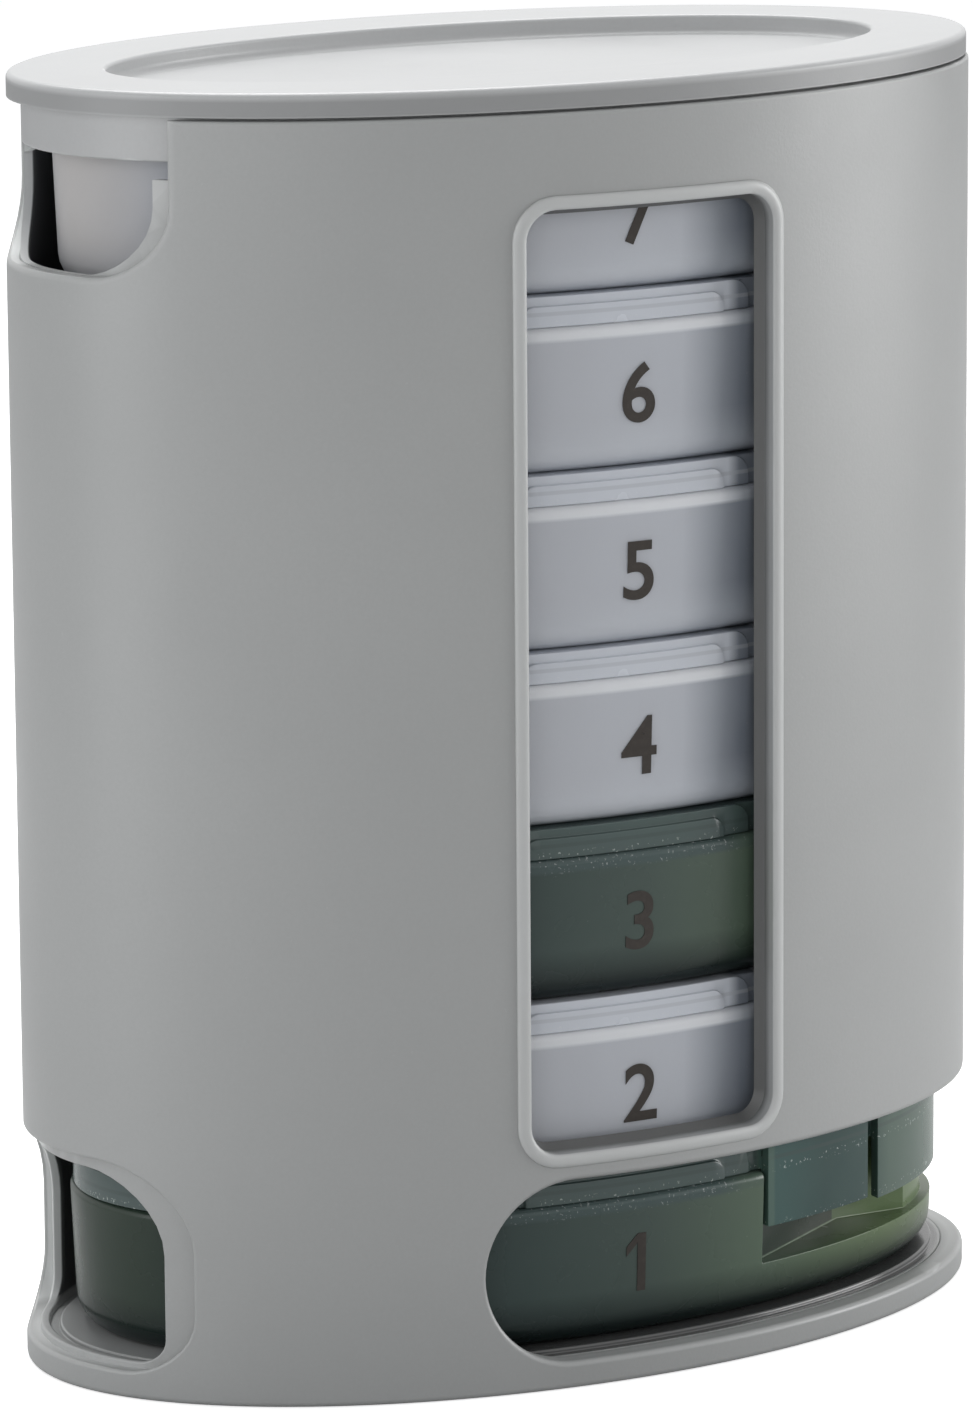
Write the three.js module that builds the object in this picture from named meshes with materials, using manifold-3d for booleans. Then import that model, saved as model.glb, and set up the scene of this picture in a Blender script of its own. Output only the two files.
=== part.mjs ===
import * as THREE from "three";
import { mergeVertices } from "three/addons/utils/BufferGeometryUtils.js";
import Module from "manifold-3d";

const wasm = await Module();
wasm.setup();

// A seven-day pill tower. Millimetres, +Z up, X along the long axis of the
// oval, the window on the -Y side. The origin is the centre of the underside.

// Driving sizes of the tower
const HALF_LENGTH = 52.5; // half the length of the oval, along X
const HALF_DEPTH = 31.25; // half its depth, along Y
const TOWER_WALL = 2.4;
const BASE_RIM_HEIGHT = 2.8; // top of the base's outer border
const BASE_STEP = 0.5; // the middle of the base stands this much higher
const BASE_STEP_SETBACK = 0.3; // how far that step lies inside the trays' outline
const BASE_EDGE_ROUND = 0.6;
const HEADROOM = 0.8; // from the top tray's lid to the tower's rim

// Clearances
const SEAT_GAP = 0.3; // between pieces that rest on each other
const TRAY_SIDE_GAP = 0.7; // between the trays and the tower's wall
const SLIDE_GAP = 0.3; // around the lid's runner and tabs
const MOUTH_CLEARANCE = 0.4; // over the bottom tray where it slides out
const OVERRUN = 4; // how far a cut runs past the face it opens

// Stack of trays
const TRAY_COUNT = 7;
const TRAY_PITCH = 17.6;
const GREEN_TRAYS = [1, 3];

// Window with its bead
const WINDOW_HALF_WIDTH = 13.9;
const WINDOW_SILL = 2.9; // from the mouth's top edge to the window
const WINDOW_HEAD = 9.4; // from the window to the rim
const WINDOW_CORNER = 3;
const BEAD_WIDTH = 1.4;
const BEAD_PROUD = 0.5;

// Exit mouth, a slot with one round end, cut through front and back
const MOUTH_REACH = 18.4; // from the middle of the tower to the round end

// Finger hole at the bottom of the left end, with a lip in the inner part of the wall
const LIP_WALL = 0.9;
const HOLE_HALF_WIDTH = 16.4;
const HOLE_RISE = 2.6; // above the mouth's top edge
const HOLE_TOP_CORNER = 8.5;
const HOLE_FOOT_CORNER = 6;
const HOLE_LIP_FRONT = 3.4; // how far the lip stands into the hole
const HOLE_LIP_BACK = 1.7;
const HOLE_LIP_TOP = 1.4;
const HOLE_LIP_FOOT = 0.7;
const HOLE_LIP_TOP_CORNER = 8;
const HOLE_LIP_FOOT_CORNER = 2.5;

// Notch at the top of the left end, with the same kind of lip
const NOTCH_HALF_WIDTH = 15.7;
const NOTCH_DEPTH = 15.6;
const NOTCH_CORNER = 7;
const NOTCH_LIP_FRONT = 2.2;
const NOTCH_LIP_BACK = 3.3;

// Cap with its skirt
const CAP_THICKNESS = 2.4;
const CAP_EDGE_SETBACK = 0.25;
const CAP_EDGE_ROUND = 0.6;
const RIM_WALL = 1.4; // the tower's wall where the skirt goes in
const SKIRT_WALL = 1.1;
const SKIRT_HEIGHT = 4.5;
const SKIRT_RUNOUT = 1.7; // from the skirt's lower edge to the shelf in the tower
const RECESS_INSET = 10.25;
const RECESS_DEPTH = 2;
const RECESS_FLOOR = 1.2;

// Tray
const TRAY_WALL = 1.4;
const TRAY_FLOOR = 1.4;
const TRAY_WALL_HEIGHT = 14.3;
const TRAY_END_GAP = 1.8; // extra room at the left end, where the finger pushes
const TRAY_BOTTOM_ROUND = 3;
const FLANGE_HEIGHT = 4.75; // under the finger pockets
const PLATE_END = 15.1; // where the label side ends and the pocket starts
const POCKET_CORNER = 30.6; // deepest place of the pocket, along X
const NECK_HALF_WIDTH = 15.7; // half the tray's width between the pockets
const NECK_SETBACK = 1.5;
const COMPARTMENT_COUNT = 4;
const DIVIDER = 1.2;

// Lid of a tray
const LID_PLATE = 1.7;
const LID_WALL = 1.2;
const LID_SETBACK = 1.2;
const LID_END_GAP = 0.8; // extra room at the left end
const ARCH_HALF_WIDTH = 13.7;
const ARCH_PROUD = 0.3;
const ARCH_CORNER = 2;
const PANEL_LEFT = 12.6; // from the middle of the window
const PANEL_RIGHT = 10.3;
const PANEL_PROUD = 0.7;
const PANEL_CORNER = 1.5;
const PANEL_DROP = 0.9; // from the lid's top to the panel's top
const TAB_GAP = 0.5; // from the label side to the tab
const TAB_LENGTH = 14.7;
const TAB_HANG = 8.8; // from the lid's top to the tab's lower edge
const SKIRT_HANG = 9.3; // from the lid's top to the end grip's lower edge
const SLIT_WIDTH = 1.7;
const SLIT_DEPTH = 2;
const RUNNER_NECK_HALF = 1.2;
const RUNNER_FOOT_HALF = 2.5;
const RUNNER_NECK_HEIGHT = 3;
const RUNNER_FOOT_HEIGHT = 1.2;
const RUNNER_END_GAP = 2; // from the runner's end to the tray's end wall

// Counts of the steps along curves
const OVAL_STEPS = 30;
const TRAY_OVAL_STEPS = 20;
const CORNER_STEPS = 3;
const MOUTH_STEPS = 9;
const ROUND_STEPS = 2;

// Heights and insets that follow from the sizes above
const floorHeight = BASE_RIM_HEIGHT + BASE_STEP;
const stackBottom = floorHeight + SEAT_GAP;
const trayHeight = TRAY_PITCH - SEAT_GAP;
const stackTop = stackBottom + TRAY_COUNT * TRAY_PITCH - SEAT_GAP;
const towerHeight = stackTop + HEADROOM;
const trayInset = TOWER_WALL + TRAY_SIDE_GAP;
const mouthTop = stackBottom + trayHeight + MOUTH_CLEARANCE;
const windowBottom = mouthTop + WINDOW_SILL;
const windowTop = towerHeight - WINDOW_HEAD;
const capBottom = towerHeight + SEAT_GAP;
const capTop = capBottom + CAP_THICKNESS;
const skirtInset = RIM_WALL + SLIDE_GAP;
const skirtBottom = capBottom - SKIRT_HEIGHT;
const shelfHeight = skirtBottom - SKIRT_RUNOUT;

// Turns a closed geometry into a solid that can be joined and cut
function solid(geometry) {
  geometry.deleteAttribute("normal");
  geometry.deleteAttribute("uv");
  const welded = mergeVertices(geometry);
  return new wasm.Manifold(new wasm.Mesh({
    numProp: 3,
    vertProperties: welded.attributes.position.array,
    triVerts: new Uint32Array(welded.index.array),
  }));
}

// Turns a solid back into a geometry
function geometryOf(body) {
  const mesh = body.getMesh();
  const geometry = new THREE.BufferGeometry();
  geometry.setAttribute("position", new THREE.BufferAttribute(mesh.vertProperties, 3));
  geometry.setIndex(new THREE.BufferAttribute(mesh.triVerts, 1));
  geometry.computeVertexNormals();
  return geometry;
}

// Outlines
function oval(halfLength, halfDepth) {
  const outline = new THREE.Shape();
  outline.absellipse(0, 0, halfLength, halfDepth, 0, 2 * Math.PI);
  return outline;
}

function towerOval(inset) {
  return oval(HALF_LENGTH - inset, HALF_DEPTH - inset);
}

// The trays' outline. Its left half is shorter by the end gap.
function trayOval(inset, endGap = 0) {
  const halfLength = HALF_LENGTH - trayInset - inset;
  const halfDepth = HALF_DEPTH - trayInset - inset;
  const outline = new THREE.Shape();
  outline.absellipse(0, 0, halfLength, halfDepth, -0.5 * Math.PI, 0.5 * Math.PI);
  outline.absellipse(0, 0, halfLength - endGap, halfDepth, 0.5 * Math.PI, 1.5 * Math.PI);
  return outline;
}

function polygon(points) {
  return new THREE.Shape(points.map(([across, up]) => new THREE.Vector2(across, up)));
}

// A rectangle whose lower and upper corners have their own radius
function roundedRectangle(left, right, bottom, top, lowRadius, highRadius) {
  const outline = new THREE.Shape();
  outline.moveTo(left, bottom + lowRadius);
  if (lowRadius > 0) {
    outline.absarc(left + lowRadius, bottom + lowRadius, lowRadius, Math.PI, 1.5 * Math.PI);
    outline.absarc(right - lowRadius, bottom + lowRadius, lowRadius, 1.5 * Math.PI, 2 * Math.PI);
  } else {
    outline.lineTo(right, bottom);
  }
  outline.absarc(right - highRadius, top - highRadius, highRadius, 0, 0.5 * Math.PI);
  outline.absarc(left + highRadius, top - highRadius, highRadius, 0.5 * Math.PI, Math.PI);
  outline.closePath();
  return outline;
}

// Solids from outlines
function prism(outline, bottom, top, steps = OVAL_STEPS) {
  const geometry = new THREE.ExtrudeGeometry(outline, {
    depth: top - bottom,
    bevelEnabled: false,
    curveSegments: steps,
  });
  geometry.translate(0, 0, bottom);
  return solid(geometry);
}

// A prism with rounded upper and lower edges
function roundedPrism(outline, bottom, top, radius, steps) {
  const geometry = new THREE.ExtrudeGeometry(outline, {
    depth: top - bottom - 2 * radius,
    bevelThickness: radius,
    bevelSize: radius,
    bevelOffset: -radius,
    bevelSegments: ROUND_STEPS,
    curveSegments: steps,
  });
  geometry.translate(0, 0, bottom + radius);
  return solid(geometry);
}

// An outline drawn in X and Z, run along Y
function alongY(outline, nearY, farY, steps = CORNER_STEPS) {
  const geometry = new THREE.ExtrudeGeometry(outline, {
    depth: farY - nearY,
    bevelEnabled: false,
    curveSegments: steps,
  });
  geometry.rotateX(Math.PI / 2);
  geometry.translate(0, farY, 0);
  return solid(geometry);
}

// An outline drawn in Y and Z, run along X
function alongX(outline, nearX, farX) {
  const geometry = new THREE.ExtrudeGeometry(outline, {
    depth: farX - nearX,
    bevelEnabled: false,
    curveSegments: CORNER_STEPS,
  });
  geometry.rotateX(Math.PI / 2);
  geometry.rotateZ(Math.PI / 2);
  geometry.translate(nearX, 0, 0);
  return solid(geometry);
}

function block(lowX, highX, lowY, highY, lowZ, highZ) {
  const geometry = new THREE.BoxGeometry(highX - lowX, highY - lowY, highZ - lowZ);
  geometry.translate((lowX + highX) / 2, (lowY + highY) / 2, (lowZ + highZ) / 2);
  return solid(geometry);
}

// The tower: shell, base, window, mouth, finger hole and notch
function windowOutline(grow) {
  return roundedRectangle(
    -WINDOW_HALF_WIDTH - grow,
    WINDOW_HALF_WIDTH + grow,
    windowBottom - grow,
    windowTop + grow,
    WINDOW_CORNER + grow,
    WINDOW_CORNER + grow,
  );
}

function makeBead() {
  const ring = alongY(windowOutline(BEAD_WIDTH), -HALF_DEPTH - OVERRUN, 0);
  const band = prism(towerOval(-BEAD_PROUD), windowBottom - OVERRUN, windowTop + OVERRUN)
    .subtract(prism(towerOval(TOWER_WALL / 2), 0, towerHeight));
  return ring.intersect(band);
}

function makeMouth() {
  const radius = (mouthTop - BASE_RIM_HEIGHT) / 2;
  const farEnd = HALF_LENGTH + OVERRUN;
  const outline = new THREE.Shape();
  outline.moveTo(farEnd, BASE_RIM_HEIGHT);
  outline.lineTo(farEnd, mouthTop);
  outline.lineTo(radius - MOUTH_REACH, mouthTop);
  outline.absarc(
    radius - MOUTH_REACH, BASE_RIM_HEIGHT + radius, radius, 0.5 * Math.PI, 1.5 * Math.PI,
  );
  outline.closePath();
  return alongY(outline, -HALF_DEPTH - OVERRUN, HALF_DEPTH + OVERRUN, MOUTH_STEPS);
}

// A cut through the left end: wide through the outer part of the wall,
// narrower through the inner part, which is left standing as a lip
function steppedCut(wide, narrow) {
  const nearX = -HALF_LENGTH - OVERRUN;
  const farX = -HALF_LENGTH / 2;
  const inside = prism(towerOval(TOWER_WALL - LIP_WALL), 0, towerHeight + 2 * OVERRUN);
  return alongX(wide, nearX, farX)
    .subtract(inside)
    .add(alongX(narrow, nearX, farX));
}

function makeFingerHole() {
  const top = mouthTop + HOLE_RISE;
  const wide = roundedRectangle(
    -HOLE_HALF_WIDTH, HOLE_HALF_WIDTH, BASE_RIM_HEIGHT, top, HOLE_FOOT_CORNER, HOLE_TOP_CORNER,
  );
  const narrow = roundedRectangle(
    HOLE_LIP_FRONT - HOLE_HALF_WIDTH,
    HOLE_HALF_WIDTH - HOLE_LIP_BACK,
    BASE_RIM_HEIGHT + HOLE_LIP_FOOT,
    top - HOLE_LIP_TOP,
    HOLE_LIP_FOOT_CORNER,
    HOLE_LIP_TOP_CORNER,
  );
  return steppedCut(wide, narrow);
}

function makeNotch() {
  const bottom = towerHeight - NOTCH_DEPTH;
  const top = towerHeight + OVERRUN;
  const wide = roundedRectangle(
    -NOTCH_HALF_WIDTH, NOTCH_HALF_WIDTH, bottom, top, NOTCH_CORNER, OVERRUN / 2,
  );
  const narrow = roundedRectangle(
    NOTCH_LIP_FRONT - NOTCH_HALF_WIDTH,
    NOTCH_HALF_WIDTH - NOTCH_LIP_BACK,
    bottom,
    top,
    NOTCH_CORNER,
    OVERRUN / 2,
  );
  return steppedCut(wide, narrow);
}

function makeTower() {
  const top = towerHeight + OVERRUN;
  const trim = block(
    -HALF_LENGTH - OVERRUN,
    HALF_LENGTH + OVERRUN,
    -HALF_DEPTH - OVERRUN,
    HALF_DEPTH + OVERRUN,
    towerHeight,
    top + OVERRUN,
  );
  const step = trayInset + BASE_STEP_SETBACK;
  return roundedPrism(towerOval(0), 0, top, BASE_EDGE_ROUND, OVAL_STEPS)
    .subtract(trim)
    .add(makeBead())
    .subtract(prism(towerOval(TOWER_WALL), BASE_RIM_HEIGHT, top))
    .subtract(prism(towerOval(RIM_WALL), shelfHeight, top))
    .subtract(alongY(windowOutline(0), -HALF_DEPTH - OVERRUN, 0))
    .subtract(makeMouth())
    .subtract(makeFingerHole())
    .subtract(makeNotch())
    .add(prism(towerOval(step), BASE_RIM_HEIGHT / 2, floorHeight));
}

// The cap: plate with an oval recess, and the skirt that goes into the tower
function makeCap() {
  const recessBottom = capTop - RECESS_DEPTH;
  const pan = RECESS_INSET - RECESS_FLOOR;
  const trim = prism(towerOval(-OVERRUN), capBottom - CAP_THICKNESS - OVERRUN, capBottom);
  const skirt = prism(towerOval(skirtInset), skirtBottom, capTop - CAP_THICKNESS / 2)
    .subtract(prism(towerOval(skirtInset + SKIRT_WALL), skirtBottom - OVERRUN, capBottom));
  return roundedPrism(
    towerOval(CAP_EDGE_SETBACK), capBottom - CAP_THICKNESS, capTop, CAP_EDGE_ROUND, OVAL_STEPS,
  )
    .subtract(trim)
    .add(skirt)
    .add(prism(towerOval(pan), recessBottom - RECESS_FLOOR, capTop))
    .subtract(prism(towerOval(RECESS_INSET), recessBottom, capTop + OVERRUN));
}

// The finger pocket of a tray, seen from above, moved into the tray by wall
function pocketOutline(side, wall) {
  const far = HALF_LENGTH + OVERRUN;
  const startX = PLATE_END;
  const halfLength = HALF_LENGTH - trayInset - NECK_SETBACK;
  const halfDepth = HALF_DEPTH - trayInset - NECK_SETBACK;
  const startY = halfDepth * Math.sqrt(1 - (startX / halfLength) ** 2);
  const slant = Math.atan2(startY - NECK_HALF_WIDTH, POCKET_CORNER - startX);
  const cornerX = POCKET_CORNER - wall * Math.tan(slant / 2);
  const cornerY = NECK_HALF_WIDTH - wall;
  const firstX = startX - wall;
  const firstY = cornerY + (cornerX - firstX) * Math.tan(slant);
  return polygon([
    [firstX, side * firstY],
    [cornerX, side * cornerY],
    [far, side * cornerY],
    [far, side * far],
    [firstX, side * far],
  ]);
}

// What the right end of a tray lacks, from a height upwards: two finger
// pockets, and a set-back end. With a wall it is what the hollow must spare.
function endCut(bottom, top, wall) {
  const far = HALF_LENGTH + OVERRUN;
  const inside = prism(trayOval(NECK_SETBACK + wall), bottom - OVERRUN, top + OVERRUN, TRAY_OVAL_STEPS);
  return block(PLATE_END - wall, far, -far, far, bottom, top)
    .subtract(inside)
    .add(prism(pocketOutline(-1, wall), bottom, top))
    .add(prism(pocketOutline(1, wall), bottom, top));
}

// The slot that the lid's runner slides in, through dividers and end wall
function runnerSlot(nearX) {
  const far = HALF_LENGTH + OVERRUN;
  const neckHalf = RUNNER_NECK_HALF + SLIDE_GAP;
  const footHalf = RUNNER_FOOT_HALF + SLIDE_GAP;
  const footTop = trayHeight - LID_PLATE - RUNNER_NECK_HEIGHT;
  const footBottom = footTop - RUNNER_FOOT_HEIGHT;
  const neck = block(nearX, far, -neckHalf, neckHalf, footBottom, trayHeight);
  const foot = block(nearX, far, -footHalf, footHalf, footBottom - SLIDE_GAP, footTop + SLIDE_GAP);
  return neck.add(foot);
}

function makeTray() {
  const top = TRAY_WALL_HEIGHT;
  const above = top + 2 * TRAY_BOTTOM_ROUND;
  const trim = prism(trayOval(-OVERRUN), top, above + OVERRUN, TRAY_OVAL_STEPS);
  const trayHalfLength = HALF_LENGTH - trayInset;
  const compartmentPitch = (2 * trayHalfLength) / COMPARTMENT_COUNT;
  const outer = trayOval(0, TRAY_END_GAP);
  const inner = trayOval(TRAY_WALL, TRAY_END_GAP);
  let hollow = prism(inner, TRAY_FLOOR, top + OVERRUN, TRAY_OVAL_STEPS)
    .subtract(endCut(0, top + 2 * OVERRUN, TRAY_WALL));
  for (let number = 1; number < COMPARTMENT_COUNT; number += 1) {
    const middle = number * compartmentPitch - trayHalfLength;
    const wall = block(
      middle - DIVIDER / 2, middle + DIVIDER / 2, -HALF_DEPTH, HALF_DEPTH, 0, top,
    );
    hollow = hollow.subtract(wall);
  }
  return roundedPrism(outer, 0, above, TRAY_BOTTOM_ROUND, TRAY_OVAL_STEPS)
    .subtract(trim)
    .subtract(endCut(FLANGE_HEIGHT, top + OVERRUN, 0))
    .subtract(hollow)
    .subtract(runnerSlot(compartmentPitch / 2 - trayHalfLength));
}

// A patch that stands proud of the lid's rim, on front and back
function rimPatch(left, right, top, radius, proud) {
  const bottom = TRAY_WALL_HEIGHT + SEAT_GAP;
  const outline = roundedRectangle(left, right, bottom, top, 0, radius);
  const inside = prism(trayOval(LID_SETBACK + LID_WALL / 2), 0, trayHeight + OVERRUN, TRAY_OVAL_STEPS);
  return alongY(outline, -HALF_DEPTH, HALF_DEPTH)
    .intersect(prism(trayOval(LID_SETBACK - proud), 0, trayHeight + OVERRUN, TRAY_OVAL_STEPS))
    .subtract(inside);
}

// The hood at the lid's right end: a tab on each side and the end grip
function makeHood() {
  const far = HALF_LENGTH + OVERRUN;
  const start = PLATE_END + TAB_GAP;
  const slitStart = start + TAB_LENGTH;
  const slitEnd = slitStart + SLIT_WIDTH;
  const gripBottom = trayHeight - SKIRT_HANG;
  const tabBottom = trayHeight - TAB_HANG;
  const plateBottom = trayHeight - LID_PLATE;
  const inside = prism(trayOval(LID_WALL), gripBottom - OVERRUN, plateBottom, TRAY_OVAL_STEPS);
  const core = prism(trayOval(SLIT_DEPTH), gripBottom - OVERRUN, trayHeight + OVERRUN, TRAY_OVAL_STEPS);
  const slit = block(slitStart, slitEnd, -far, far, gripBottom - OVERRUN, trayHeight + OVERRUN)
    .subtract(core);
  return prism(trayOval(0), gripBottom, trayHeight, TRAY_OVAL_STEPS)
    .intersect(block(start, far, -far, far, gripBottom, trayHeight))
    .subtract(inside)
    .subtract(block(start - OVERRUN, slitStart, -far, far, gripBottom - OVERRUN, tabBottom))
    .subtract(slit);
}

function makeRunner() {
  const trayHalfLength = HALF_LENGTH - trayInset;
  const leftEnd = TRAY_END_GAP + TRAY_WALL + RUNNER_END_GAP - trayHalfLength;
  const rightEnd = trayHalfLength - NECK_SETBACK - TRAY_WALL - RUNNER_END_GAP;
  const plateBottom = trayHeight - LID_PLATE;
  const footTop = plateBottom - RUNNER_NECK_HEIGHT;
  const footBottom = footTop - RUNNER_FOOT_HEIGHT;
  const neck = block(
    leftEnd, rightEnd, -RUNNER_NECK_HALF, RUNNER_NECK_HALF, footBottom, plateBottom + LID_PLATE / 2,
  );
  return neck.add(block(leftEnd, rightEnd, -RUNNER_FOOT_HALF, RUNNER_FOOT_HALF, footBottom, footTop));
}

function makeLid() {
  const bottom = TRAY_WALL_HEIGHT + SEAT_GAP;
  const plateBottom = trayHeight - LID_PLATE;
  const panelTop = trayHeight - PANEL_DROP;
  const outer = trayOval(LID_SETBACK, LID_END_GAP);
  const inner = trayOval(LID_SETBACK + LID_WALL, LID_END_GAP);
  return prism(outer, bottom, trayHeight, TRAY_OVAL_STEPS)
    .subtract(prism(inner, bottom - OVERRUN, plateBottom, TRAY_OVAL_STEPS))
    .add(rimPatch(-ARCH_HALF_WIDTH, ARCH_HALF_WIDTH, trayHeight, ARCH_CORNER, ARCH_PROUD))
    .add(rimPatch(-PANEL_LEFT, PANEL_RIGHT, panelTop, PANEL_CORNER, PANEL_PROUD))
    .add(makeHood())
    .add(makeRunner());
}

// Materials
const greyPlastic = new THREE.MeshStandardMaterial({ color: 0x9b9e9a, roughness: 0.5, metalness: 0 });
const capPlastic = new THREE.MeshStandardMaterial({ color: 0xa6a9a6, roughness: 0.5, metalness: 0 });
const whiteTray = new THREE.MeshStandardMaterial({ color: 0xa9aeb6, roughness: 0.45, metalness: 0 });
const greenTray = new THREE.MeshStandardMaterial({ color: 0x4b5a55, roughness: 0.35, metalness: 0 });
const clearLid = new THREE.MeshStandardMaterial({
  color: 0xc4c9d2, roughness: 0.2, metalness: 0, transparent: true, opacity: 0.8,
});
const greenLid = new THREE.MeshStandardMaterial({
  color: 0x567070, roughness: 0.2, metalness: 0, transparent: true, opacity: 0.8,
});

function piece(name, body, material) {
  const mesh = new THREE.Mesh(geometryOf(body), material);
  mesh.name = name;
  return mesh;
}

// The whole tower, with tray 1 at the bottom
const pillTower = new THREE.Group();
pillTower.add(piece("tower_housing", makeTower(), greyPlastic));
pillTower.add(piece("tower_cap", makeCap(), capPlastic));

const trayBody = makeTray();
const lidBody = makeLid();
for (let number = 1; number <= TRAY_COUNT; number += 1) {
  const green = GREEN_TRAYS.includes(number);
  const level = new THREE.Group();
  level.position.z = stackBottom + (number - 1) * TRAY_PITCH;
  level.add(piece(`tray_${number}`, trayBody, green ? greenTray : whiteTray));
  level.add(piece(`tray_lid_${number}`, lidBody, green ? greenLid : clearLid));
  pillTower.add(level);
}

export default pillTower;
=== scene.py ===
import math

import bmesh
import bpy
import numpy as np
from mathutils import Matrix, Vector
from mathutils.geometry import delaunay_2d_cdt


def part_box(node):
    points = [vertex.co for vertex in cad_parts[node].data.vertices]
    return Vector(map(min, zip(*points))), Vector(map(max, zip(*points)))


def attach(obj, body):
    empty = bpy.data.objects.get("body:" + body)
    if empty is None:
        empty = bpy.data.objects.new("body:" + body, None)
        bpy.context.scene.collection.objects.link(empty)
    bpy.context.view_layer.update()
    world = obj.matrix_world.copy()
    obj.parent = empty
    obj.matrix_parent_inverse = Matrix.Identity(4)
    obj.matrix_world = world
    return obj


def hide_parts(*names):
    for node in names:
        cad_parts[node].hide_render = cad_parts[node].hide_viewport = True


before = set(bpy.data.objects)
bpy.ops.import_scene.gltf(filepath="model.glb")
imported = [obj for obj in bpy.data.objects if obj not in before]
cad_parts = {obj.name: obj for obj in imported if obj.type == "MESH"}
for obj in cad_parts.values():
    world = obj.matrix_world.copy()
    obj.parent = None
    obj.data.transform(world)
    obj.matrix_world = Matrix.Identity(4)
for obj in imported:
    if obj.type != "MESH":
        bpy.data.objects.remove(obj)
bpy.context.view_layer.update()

# A seven-day pill tower. Shapes are worked out in millimetres and turned into
# metres when a mesh is made. +Z is up, X runs along the oval, the window is
# on the -Y side.
MM = 0.001
QUARTER = math.pi / 2


def corners(node):
    low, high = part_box(node)
    return np.array(low) / MM, np.array(high) / MM


# Places that come from the frame
_, tower_high = corners("tower_housing")
cap_low, cap_high = corners("tower_cap")
tray_low, tray_high = corners("tray_1")
next_tray_low, _ = corners("tray_2")
_, lid_high = corners("tray_lid_1")
HALF_LENGTH, HALF_DEPTH, tower_top = tower_high
skirt_bottom, cap_top = cap_low[2], cap_high[2]
stack_bottom = tray_low[2]
tray_pitch = next_tray_low[2] - tray_low[2]
tray_height = lid_high[2] - tray_low[2]
wall_height = tray_high[2] - tray_low[2]
tray_inset = HALF_LENGTH - tray_high[0]
tray_end_gap = tray_high[0] + tray_low[0]

# Tower
TOWER_WALL = 2.4
RIM_WALL = 1.4
BASE_RIM = 2.8
BASE_STEP = 0.5
BASE_STEP_SETBACK = 0.3
BASE_ROUND = 0.6
MOUTH_CLEARANCE = 0.4
MOUTH_REACH = 18.4
WINDOW_HALF_WIDTH = 13.9
WINDOW_SILL = 2.9
WINDOW_HEAD = 9.4
WINDOW_CORNER = 3
BEAD_WIDTH = 1.4
BEAD_PROUD = 0.5
HOLE_HALF_WIDTH = 16.4
HOLE_RISE = 2.6
HOLE_TOP_CORNER = 8.5
HOLE_FOOT_CORNER = 6
HOLE_LIP_FRONT = 3.4
HOLE_LIP_BACK = 1.7
HOLE_LIP_TOP = 1.4
HOLE_LIP_FOOT = 0.7
HOLE_LIP_TOP_CORNER = 8
HOLE_LIP_FOOT_CORNER = 2.5
NOTCH_HALF_WIDTH = 15.7
NOTCH_DEPTH = 15.6
NOTCH_CORNER = 7
NOTCH_LIP_FRONT = 2.2
NOTCH_LIP_BACK = 3.3
NOTCH_SPREAD = 2.2
MOUTH_ROUND = 0.6
HOLE_ROUND = 0.45
WINDOW_DRAFT = 0.7
LIP_ROUND = 0.25
RIM_ROUND = 0.35
SKIRT_RUNOUT = 1.7
SEAM_X = -31
BEAD_FULLNESS = 0.8
BEAD_FOOT = ((1.2, 0), (1.05, 1 / 12))  # shares of its width and height

# Cap
CAP_THICKNESS = 2.4
CAP_EDGE_SETBACK = 0.25
CAP_EDGE_ROUND = 0.6
SLIDE_GAP = 0.3
SKIRT_WALL = 1.1
RECESS_INSET = 10.25
RECESS_DEPTH = 2
RECESS_FLOOR = 1.2
RECESS_EDGE_ROUND = 0.4
RECESS_FOOT_ROUND = 0.9

# Tray
TRAY_WALL = 1.4
TRAY_FLOOR = 1.4
TRAY_BOTTOM_ROUND = 3
TRAY_EDGE_ROUND = 0.7
TRAY_DRAFT = 0.6
FLANGE_HEIGHT = 4.75
PLATE_END = 15.1
POCKET_CORNER = 30.6
NECK_HALF_WIDTH = 15.7
NECK_SETBACK = 1.5
COMPARTMENT_COUNT = 4
DIVIDER = 1.2

# Lid
SEAT_GAP = 0.3
LID_PLATE = 1.7
LID_WALL = 1.2
LID_SETBACK = 1.2
LID_END_GAP = 0.8
ARCH_HALF_WIDTH = 13.7
ARCH_PROUD = 0.3
ARCH_CORNER = 2
PANEL_LEFT = 12.6
PANEL_RIGHT = 10.3
PANEL_PROUD = 0.7
PANEL_CORNER = 1.5
PANEL_DROP = 0.9
TAB_GAP = 0.5
TAB_LENGTH = 14.7
TAB_HANG = 8.8
SKIRT_HANG = 9.3
SLIT_WIDTH = 1.7
SLIT_DEPTH = 2
RUNNER_NECK_HALF = 1.2
RUNNER_FOOT_HALF = 2.5
RUNNER_NECK_HEIGHT = 3
RUNNER_FOOT_HEIGHT = 1.2
RUNNER_END_GAP = 2
EDGE_BREAK = 0.15
EDGE_SEGMENTS = 2
BROKEN_ABOVE = 38  # degrees between two faces
SHARP_ABOVE = 35
FACE_WEIGHT = 80
SEAM_SHOWN = 0.02

# Numerals on the label sides
TRAY_COUNT = 7
GREEN_TRAYS = (1, 3)
NUMERAL_HEIGHT = 6
NUMERAL_RISE = 7.45
NUMERAL_PROUD = 0.07
NUMERAL_STROKE = 0.95
NUMERAL_SWELL = 0.11
FLAG_REACH = 1.75
FLAG_DROP = 1.3
FONT_CAP_SHARE = 0.73

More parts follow.
